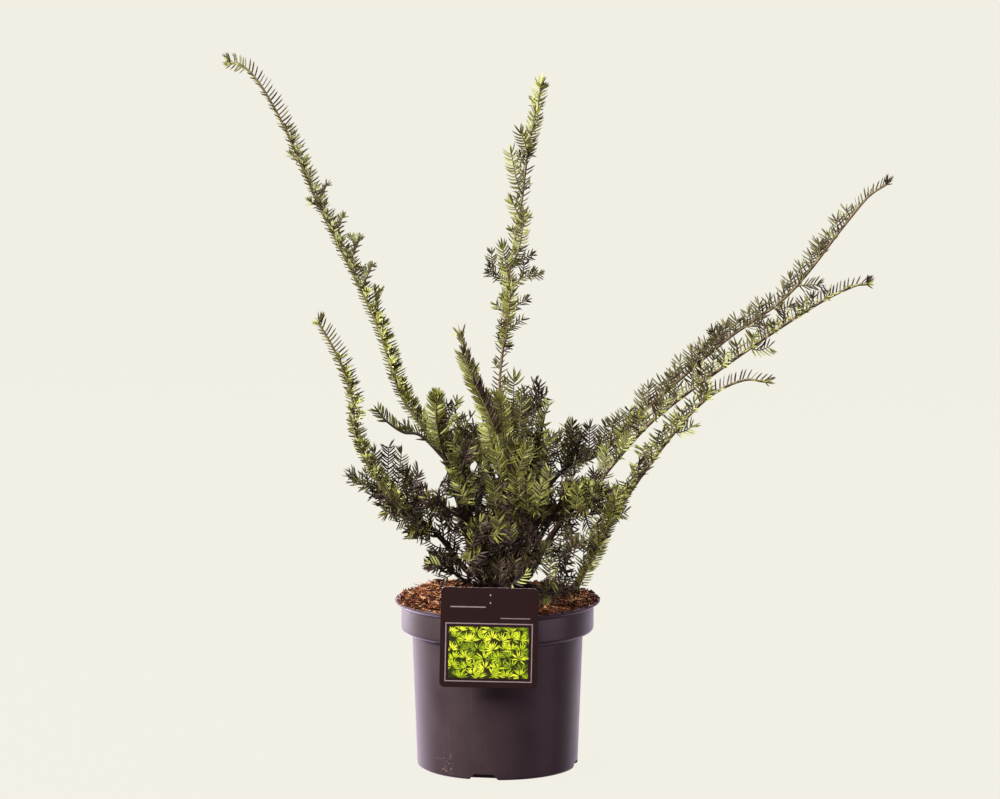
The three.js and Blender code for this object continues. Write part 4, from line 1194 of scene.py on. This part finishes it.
        tints=("olive", "mixed"),
        sprays=[((34, -74, 295), (32, -76, 328), "olive"), ((24, -70, 307), (20, -72, 334), "mixed"),
        ((44, -74, 299), (47, -76, 324), "olive")]),
    "right_front_tuft": grown(
        "right_inner_bough", 14, 3, 30, 113, [(70, -56, 248), (88, -76, 262)], rightDark,
        sprays=[((58, -84, 215), (57, -86, 242), "olive"), ((74, -70, 235), (81, -72, 255), "dark")]),
    "front_low_tuft": grown(
        "front_bough", 0, 3, 26, 121, [(11, -66, 220), (12, -88, 230)], middle,
        sprays=[((3, -92, 217), (3, -94, 237), "mixed"), ((16, -90, 218), (29, -92, 229), "mixed")]),
    "front_left_spray": grown(
        "front_bough", 6, 3, 32, 122, [(-12, -54, 244), (-22, -84, 280)], middle,
        sprays=[((-28, -84, 257), (-19, -86, 284), "mixed"), ((-34, -80, 241), (-19, -82, 250), "olive"),
        ((1, -86, 273), (-1, -88, 293), "olive")]),
    "front_right_spray": grown(
        "front_bough", 12, 3, 32, 123, [(26, -44, 238), (36, -84, 262)], middleDark,
        sprays=[((42, -80, 236), (53, -82, 257), "dark"), ((16, -84, 257), (14, -86, 279), "mixed")]),
    "back_left_spray": grown("back_left_bough", 0, 3, 36, 131, [(-30, 80, 304), (-34, 92, 340)], back),
    "back_left_low_spray": grown("back_left_bough", 10, 3, 38, 132, [(-50, 78, 262), (-80, 92, 274)], back),
    "back_right_spray": grown("back_right_bough", 0, 3, 36, 141, [(46, 80, 306), (52, 90, 342)], back),
    "back_right_low_spray": grown("back_right_bough", 10, 3, 38, 142, [(70, 80, 266), (108, 88, 290)], back),
    "back_spray": grown("back_bough", 0, 3, 40, 151, [(12, 102, 264), (10, 128, 304)], back),
}

# Three-lobed gaps where the sky shows between the limbs, seen from the front: X, Z and mean radius in mm
skyGaps = [
    (-133, 376, 8), (-120, 368, 7), (-107, 365, 5), (-95, 359, 7), (-85, 349, 9), (-74, 338, 11),
    (-77, 352, 6), (-70, 324, 10), (-69, 314, 5), (-162, 288, 17), (-145, 279, 10), (-127, 251, 14),
    (-107, 233, 17), (-70, 249, 5), (-50, 426, 9), (-37, 416, 5), (-23, 387, 5), (-36, 400, 4),
    (30, 428, 4), (75, 411, 15), (106, 411, 15), (130, 409, 10), (64, 391, 9), (61, 380, 4),
    (148, 345, 7), (135, 329, 8), (70, 331, 7), (65, 319, 4), (65, 300, 4), (-50, 294, 5),
    (-46, 275, 4), (61, 261, 7), (104, 281, 4), (-35, 211, 7), (-51, 208, 4), (-26, 334, 5),
    (-1, 323, 3), (-57, 245, 4), (91, 237, 4), (48, 211, 4),
]

# How often a run of needles is shaded, which is painted shade, or dark, olive, fresh or pale, and how often
# its undersides are lime
tintShares = {
    "paintedShadeHeart": ((0.85, 0.14, 0.01, 0, 0), 0),
    "dark": ((0.52, 0.40, 0.08, 0, 0), 0.1),
    "mixed": ((0.30, 0.42, 0.24, 0.04, 0), 0.3),
    "olive": ((0.05, 0.35, 0.48, 0.12, 0), 0.4),
    "bright": ((0, 0.15, 0.55, 0.30, 0), 0.4),
    "lime": ((0, 0.08, 0.42, 0.50, 0), 0.8),
    "shaft": ((0.14, 0.48, 0.33, 0.05, 0), 0.3),
    # The far rank's needles, in painted shade
    "far": ((0.48, 0.46, 0.06, 0, 0), 0),
    "fresh": ((0, 0, 0.18, 0.34, 0.48), 1),
}
# The crown's heart in mm, where needles are painted in shade, but for these tints, which stand in the light
paintedShadeHeart = {"centre": (15, -8, 240), "reach": (104, 84, 64), "spared": ("lime", "bright", "fresh")}

# The branching rule, and the shoots' own sizes in millimetres
branching = {
    "turnDegrees": 137.5,
    "angleDegrees": 46,
    "firstShare": 0.2,
    "lastShare": 0.86,
    "shortening": 0.5,
    "rise": 0.5,
    "twigRadii": (1.0, 0.55),
    "fineFrom": 0.05,
    "longTwig": 28,  # from this length on a twig has finer twigs of its own
    "ofLongTwigs": (0.3, 9, 20),  # the share they start at, mm from one to the next, and their length
}
needle = {
    "bareFoot": 2,  # mm of each shoot
    "pitchScatter": 0.12,  # as a share of the step from needle to needle
    "turnScatter": (70, 6),  # degrees round the shoot, at its tip and along it
    "angleScatter": (18, 4),  # degrees to the shoot, the same
    "liftShares": (0.85, 1.15),
    "faceScatter": 0.3,
    "tipAngle": 45,
    "closing": 12,  # how late the angle closes to the tip's
    "lengthShares": (0.88, 1.08),
    "widthShares": (0.9, 1.1),
    "run": 26,  # mm of a shoot that are dealt one tint
    "strays": 0.12,  # the share of needles dealt one of their own
    "leftward": 0.2,  # a left rank's needles point less to the right than this
    "ridge": 0.19,  # the midrib's height as a share of the width
    "stations": ((0.1, 0.9), (0.42, 1), (0.75, 0.85)),  # the share of the length, and of the width there
}
# The plant's two broad sides: the front one before this Y, and how far both look up
broadSides = {"middleY": 0.03, "rise": 0.35}
# How far needles and twigs stay from the box, the peat, the card's sides, the strip's top and the card's back
clearance = {"box": 1.5, "peat": 4, "cardSide": 4, "stripTop": 6, "cardBack": 10}
lowCorner = np.array(cadBox[0]) + clearance["box"] * mm
highCorner = np.array(cadBox[1]) - clearance["box"] * mm


def seededRandom(seed):
    # A plain congruential generator, the same as the solids were grown with
    state = seed
    while True:
        state = (state * 1664525 + 1013904223) & 0xFFFFFFFF
        yield state / 4294967296


def pair(value):
    return value if isinstance(value, tuple) else (value, value)


def between(random, low, high):
    return low + (high - low) * next(random)


def pathLength(path):
    return sum((end - start).length for start, end in zip(path, path[1:]))


def placeOnPath(path, distance):
    remaining = distance
    for i, (start, end) in enumerate(zip(path, path[1:])):
        span = (end - start).length
        if remaining <= span or i == len(path) - 2:
            tangent = (end - start).normalized()
            return start + tangent * remaining, tangent
        remaining -= span


def crossDirections(tangent):
    # Level and upwards, both square to a shoot; one that stands upright has any level direction.
    level = tangent.cross(up)
    if level.length < 0.05:
        level = Vector((1, 0, 0))
    level.normalize()
    return level, level.cross(tangent).normalized()


def nearerSide(y):
    return -1 if y < broadSides["middleY"] else 1


def fanNormal(point, tangent, fan):
    # The upper side of a spray: its own upper side, turned towards the nearer broad face of the plant.
    outward = Vector((0, nearerSide(point.y), broadSides["rise"]))
    _, rising = crossDirections(tangent)
    normal = rising * (1 - fan) + outward * fan
    normal -= tangent * normal.dot(tangent)
    return normal.normalized()


def inGap(places):
    # Each place is taken along the line of sight to the upright plane through the trunk.
    eye = np.array(cameraPlace["location"])
    seen = (eye + (places - eye) * (eye[1] / (eye[1] - places[:, 1:2]))) / mm
    gaps = np.array(skyGaps, float)
    aside, above = seen[:, 0:1] - gaps[:, 0], seen[:, 2:3] - gaps[:, 1]
    # Their radius swings by a third, each gap's lobes turned differently.
    lobes = 1 + 0.32 * np.sin(3 * np.arctan2(above, aside) + np.arange(len(gaps)))
    return np.any(np.hypot(aside, above) < gaps[:, 2] * lobes, axis=1)


def areClear(places):
    # Inside the plant's own box, over the peat, out of the card's way and out of the gaps
    x, y, z = places.T / mm
    inBox = np.all((places > lowCorner) & (places < highCorner), axis=1)
    overPeat = z > soilHeight(x, y) + clearance["peat"]
    besideCard = np.abs(x - card["centreX"]) > card["width"] / 2 + clearance["cardSide"]
    overStrip = z > strip["topZ"] + clearance["stripTop"]
    behindCard = y > card["backY"] + clearance["cardBack"]
    return inBox & overPeat & (besideCard | overStrip | behindCard) & ~inGap(places)


def isClear(path):
    return bool(np.all(areClear(np.array([tuple(path[-1]), tuple(path[len(path) // 2])]))))


def twigPath(point, tangent, outward, degrees, reach):
    # It leaves the stem at this angle and bends upwards from half its reach on.
    angle = math.radians(degrees)
    start = tangent * math.cos(angle) + outward * math.sin(angle)
    end = (start + up * branching["rise"]).normalized()
    middle = point + start * reach / 2
    return smoothPath([point, middle, middle + end * reach / 2], 4)


def firstTwigs(mass, stem):
    random = seededRandom(mass["seed"])
    length = pathLength(stem)
    twigs = []
    for i in range(mass["twigs"]):
        share = (i + between(random, 0.35, 0.65)) / mass["twigs"]
        at = branching["firstShare"] + (branching["lastShare"] - branching["firstShare"]) * share
        point, tangent = placeOnPath(stem, length * at)
        level, rising = crossDirections(tangent)
        turn = math.radians(branching["turnDegrees"] * i + between(random, 0, 40))
        reach = mass["reach"] * (1 - branching["shortening"] * share) * between(random, 0.85, 1.15) * mm
        outward = level * math.cos(turn) + rising * math.sin(turn)
        twigs.append(twigPath(point, tangent, outward, branching["angleDegrees"], reach))
    return [path for path in twigs if isClear(path)]


def finerTwigs(stem, habit, random, firstAt, every, twigLength):
    # To either side of the stem in turn, in the plane of its spray or a little out of it
    length = pathLength(stem)
    count = int(length * (habit["twigsUpTo"] - firstAt) / (every * mm))
    twigs = []
    for i in range(count):
        share = (i + between(random, 0.2, 0.8)) / count
        point, tangent = placeOnPath(stem, length * (firstAt + (habit["twigsUpTo"] - firstAt) * share))
        normal = fanNormal(point, tangent, habit["fan"])
        side = tangent.cross(normal) * (1 if i % 2 else -1)
        outward = (side + normal * (habit["rising"] + between(random, -0.3, 0.3))).normalized()
        degrees = branching["angleDegrees"] * between(random, 0.8, 1.1)
        reach = twigLength * (1 - habit["taper"] * share) * between(random, 0.7, 1.15) * mm
        twigs.append(twigPath(point, tangent, outward, degrees, reach))
    return [path for path in twigs if isClear(path)]


def tuftTwigs(stem, tips):
    # A twig to each given tip, leaving the stem a little below its nearest place, and bent along it a little
    length = pathLength(stem)
    marks = [length * i / 200 for i in range(201)]
    twigs = []
    for tip in inMetres(tips):
        nearest = min(marks, key=lambda mark: (placeOnPath(stem, mark)[0] - tip).length)
        away = (placeOnPath(stem, nearest)[0] - tip).length
        foot, tangent = placeOnPath(stem, max(0, nearest - 0.9 * away))
        twigs.append(smoothPath([foot, foot + (tip - foot) * 0.5 + tangent * away * 0.06, tip], 4))
    return twigs


def sprayTwigs(stem, sprays):
    # Each spray leaves the stem half its length behind its foot, and runs through its foot to its tip.
    length = pathLength(stem)
    places = [placeOnPath(stem, length * i / 100)[0] for i in range(101)]
    twigs = []
    for *ends, tint in sprays:
        foot, tip = inMetres(ends)
        behind = foot + (foot - tip) * 0.5
        start = min(places, key=lambda place: (place - behind).length)
        twigs.append((smoothPath([start, foot, tip], 6), tint))
    return twigs


def boughPath(name):
    return smoothPath(inMetres(boughs[name][0]), 8)


def stemPath(mass):
    along = boughPath(mass["bough"])
    foot, _ = placeOnPath(along, pathLength(along) - (mass["before"] + 1) * mm)
    return smoothPath([foot, *inMetres(mass["path"])], 10)


def growMass(name):
    # The limbs of a mass, each a path, radii and bark, and its shoots, each a path with its needles' habit
    mass = masses[name]
    random = seededRandom(mass["seed"] + 500)
    stem = stemPath(mass)
    half = len(stem) // 2
    foot, tip = mass["stem"]
    lower, upper, ofTwigs = mass["barks"]
    limbs = [(stem[:half + 1], foot, (foot + tip) / 2, lower), (stem[half:], (foot + tip) / 2, tip, upper)]
    shoots = [(stem, mass)]
    twigs = firstTwigs(mass, stem)
    twigs += finerTwigs(stem, mass, random, branching["fineFrom"], mass["every"], mass["twigLength"])
    twigs += tuftTwigs(stem, mass.get("tufts", ()))
    for path in list(twigs):
        if pathLength(path) > branching["longTwig"] * mm:
            twigs += finerTwigs(path, mass, random, *branching["ofLongTwigs"])
    for path in twigs:
        limbs.append((path, *branching["twigRadii"], ofTwigs))
        shoots.append((path, {**mass, **mass["ofTwigs"]}))
    for path, tint in sprayTwigs(stem, mass.get("sprays", ())):
        barkOfSpray = 0 if tint in ("dark", "mixed") else 1  # brown, or olive
        limbs.append((path, *branching["twigRadii"], barkOfSpray))
        shoots.append((path, {**sprayHabit, "tints": tint, **mass["ofSprays"]}))
    return limbs, shoots


def growBough(name, number):
    # Dark sprays on the upper part of a bough, and a brush of needles on the bough itself
    random = seededRandom(700 + number)
    habit = backBoughHabit if name in backBoughs else boughHabit
    path = boughPath(name)
    twigs = finerTwigs(path, habit, random, habit["twigsFrom"], habit["every"], habit["twigLength"])
    limbs = [(twig, *branching["twigRadii"], 0) for twig in twigs]
    upper = path[int(len(path) * habit["twigsFrom"]):]
    return limbs, [(twig, habit) for twig in twigs] + [(upper, {**habit, **brush})]


def unit(vectors):
    return vectors / np.linalg.norm(vectors, axis=1, keepdims=True)


def placesAlong(path, distances):
    points = np.array([tuple(point) for point in path])
    marks = np.concatenate([[0], np.cumsum(np.linalg.norm(np.diff(points, axis=0), axis=1))])
    slopes = np.gradient(points, marks, axis=0)
    placed, tangents = (np.stack([np.interp(distances, marks, values[:, k]) for k in range(3)], axis=1)
                        for values in (points, slopes))
    return placed, unit(tangents)


def needlesAlong(path, habit, rng):
    # Rows of foot point, direction, upper side, length, width, bend, and a top and an underside tint
    length = pathLength(path)
    bare = needle["bareFoot"] * mm
    first, last = pair(habit["pitch"])
    pairs = int((length - bare) / ((first + last) / 2 * mm))
    if pairs < 1:
        return None
    count = 2 * pairs + habit["tipNeedles"]
    order = np.arange(count)
    atTip = order >= 2 * pairs  # a few close the shoot's tip, all round it
    u = np.minimum(1, (order / 2 + needle["pitchScatter"] * rng.standard_normal(count)) / pairs)
    share = np.clip((first * u + (last - first) * u * u / 2) / ((first + last) / 2), 0, 1)
    points, tangents = placesAlong(path, bare + share * (length - bare))
    normals = np.array([tuple(fanNormal(Vector(point), Vector(tangent), habit["fan"]))
                        for point, tangent in zip(points, tangents)])
    across = np.cross(tangents, normals)
    side = np.where(order % 2 == 0, 1.0, -1.0)[:, None]
    outward = np.tile((0, nearerSide(path[0].y), broadSides["rise"]), (count, 1))
    isNear = (across * side * outward)[:, 1] > 0
    lift = np.where(isNear, *pair(habit["lift"]))[:, None]
    fullAngle = np.where(isNear, *pair(habit["angle"]))
    turn = np.radians((branching["turnDegrees"] * (order // 2)) % 180 - 90) * habit["spread"]
    turn = (turn + np.radians(np.where(atTip, *needle["turnScatter"])) * rng.standard_normal(count))[:, None]
    arms = side * across * np.cos(turn) + normals * np.sin(turn)
    arms = unit(arms + normals * lift * rng.uniform(*needle["liftShares"], (count, 1)))
    angle = fullAngle + (needle["tipAngle"] - fullAngle) * share ** needle["closing"]
    angle = np.radians(angle + np.where(atTip, *needle["angleScatter"]) * rng.standard_normal(count))[:, None]
    directions = unit(tangents * np.cos(angle) + arms * np.sin(angle))
    uppers = normals * (1 - habit["faceOut"]) + outward * habit["faceOut"]
    uppers = uppers + needle["faceScatter"] * rng.standard_normal((count, 3))
    uppers = unit(uppers - directions * np.sum(uppers * directions, axis=1, keepdims=True))
    grownOut = np.interp(share, (0, 0.12, 0.85, 1), (0.75, 1, 1, 0.85))  # shorter at the shoot's two ends
    fullLength, fullWidth = (size * mm for size in habit["needleSize"])
    lengths = fullLength * grownOut * np.where(isNear, *pair(habit["shares"]))
    lengths = lengths * rng.uniform(*needle["lengthShares"], count)
    widths = fullWidth * rng.uniform(*needle["widthShares"], count)
    bends = tangents * lengths[:, None] * habit["bend"]
    isFirst = arms[:, 0] < needle["leftward"] if habit["ranks"] == "left" else isNear
    tops, unders = dealTints(habit["tints"], share, length, points, isFirst, rng)
    tips = points + directions * lengths[:, None] + bends
    keep = areClear(tips) & areClear((points + tips) / 2)
    return [values[keep] for values in (points, directions, uppers, lengths, widths, bends, tops, unders)]


def dealTints(tints, share, length, points, isFirst, rng):
    # Each rank's tint is dealt out in runs, and again in the crown's heart, where needles are painted in
    # shade.
    count, kinds = len(points), len(needleTops)
    runs = max(1, int(length / (needle["run"] * mm)))
    run = np.minimum((share * runs).astype(int), runs - 1)
    inPaintedShadeHeart = np.linalg.norm((points / mm - paintedShadeHeart["centre"]) / paintedShadeHeart["reach"], axis=1) < 1
    tops = np.zeros(count, int)
    unders = np.zeros(count, int)
    for tint, inRank in zip(pair(tints), (isFirst, ~isFirst)):
        passes = [(tint, inRank)]
        if tint not in paintedShadeHeart["spared"]:
            passes.append(("paintedShadeHeart", inRank & inPaintedShadeHeart))
        for kind, here in passes:
            topShares, limeShare = tintShares[kind]
            ofRun = rng.choice(kinds, size=runs, p=topShares)[run]
            isStray = rng.random(count) < needle["strays"]
            dealt = np.where(isStray, rng.choice(kinds, size=count, p=topShares), ofRun)
            tops[here] = dealt[here]
            unders[here] = (rng.random(runs) < limeShare)[run][here]
    return tops, unders


def needleMesh(name, rows):
    # Every needle: a pointed blade with a raised midrib, flat below, bending a little towards the shoot's tip
    points, directions, uppers, lengths, widths, bends, tops, unders = map(np.concatenate, zip(*rows))
    sides = np.cross(directions, uppers) * widths[:, None] / 2
    ridges = uppers * widths[:, None] * needle["ridge"]
    rings = [points]
    for share, width in needle["stations"]:
        centre = points + directions * lengths[:, None] * share + bends * share * share
        rings += [centre - sides * width, centre + sides * width, centre + ridges * width]
    rings.append(points + directions * lengths[:, None] + bends)
    vertices = np.stack(rings, axis=1).reshape(-1, 3)
    foot, tip = 0, len(rings) - 1
    # Each face of a needle, and whether it lies below
    shapes = []
    for a in range(1, tip - 3, 3):
        b, rib = a + 1, a + 2
        shapes += [((a, rib, rib + 3, a + 3), False), ((rib, b, b + 3, rib + 3), False),
                   ((b, a, a + 3, b + 3), True)]
    a, b, rib = tip - 3, tip - 2, tip - 1
    shapes += [((foot, 3, 1), False), ((foot, 2, 3), False), ((foot, 1, 2), True),
               ((a, rib, tip), False), ((rib, b, tip), False), ((b, a, tip), True)]
    offsets = (np.arange(len(points)) * len(rings))[:, None]
    sheets, tints = [], []
    for shape, isBelow in shapes:
        sheets.extend((offsets + np.array(shape)).tolist())
        tints.append(len(needleTops) + unders if isBelow else tops)
    piece = meshPiece(name, vertices.tolist(), sheets, np.concatenate(tints).astype(np.int32))
    smoothByAngle(piece, 50)
    return piece


def groupOfBough(name):
    # A bough's own sprays go with the first of its masses that has twigs nearly to its tip.
    return next(mass["group"] for mass in masses.values()
                if mass["bough"] == name and mass["twigsUpTo"] > 0.9)


def makeFoliage():
    groups = {}
    grownNodes = [(mass["group"], [name], growMass(name)) for name, mass in masses.items()]
    grownNodes += [(groupOfBough(name), [], growBough(name, i)) for i, name in enumerate(boughs)]
    for group, names, (moreLimbs, moreShoots) in grownNodes:
        limbs, shoots, nodes = groups.setdefault(group, ([], [], []))
        limbs.extend(moreLimbs)
        shoots.extend(moreShoots)
        nodes.extend(names)
    for number, (group, (limbs, shoots, nodes)) in enumerate(groups.items()):
        rng = np.random.default_rng(100 + number)
        twigs = tubes(f"twigs_{group}", limbs, 6, shootBarks)
        smoothByAngle(twigs, 60)
        finishPiece(twigs, "bark", nodes)
        rows = [row for row in (needlesAlong(path, habit, rng) for path, habit in shoots) if row]
        needles = needleMesh(f"needles_{group}", rows)
        finishPiece(needles, "needles", nodes, *needleTops, *needleUnders)
        print(f"{group}: {len(shoots)} shoots, {triangleCount(twigs)} and {triangleCount(needles)} triangles")


makeFoliage()
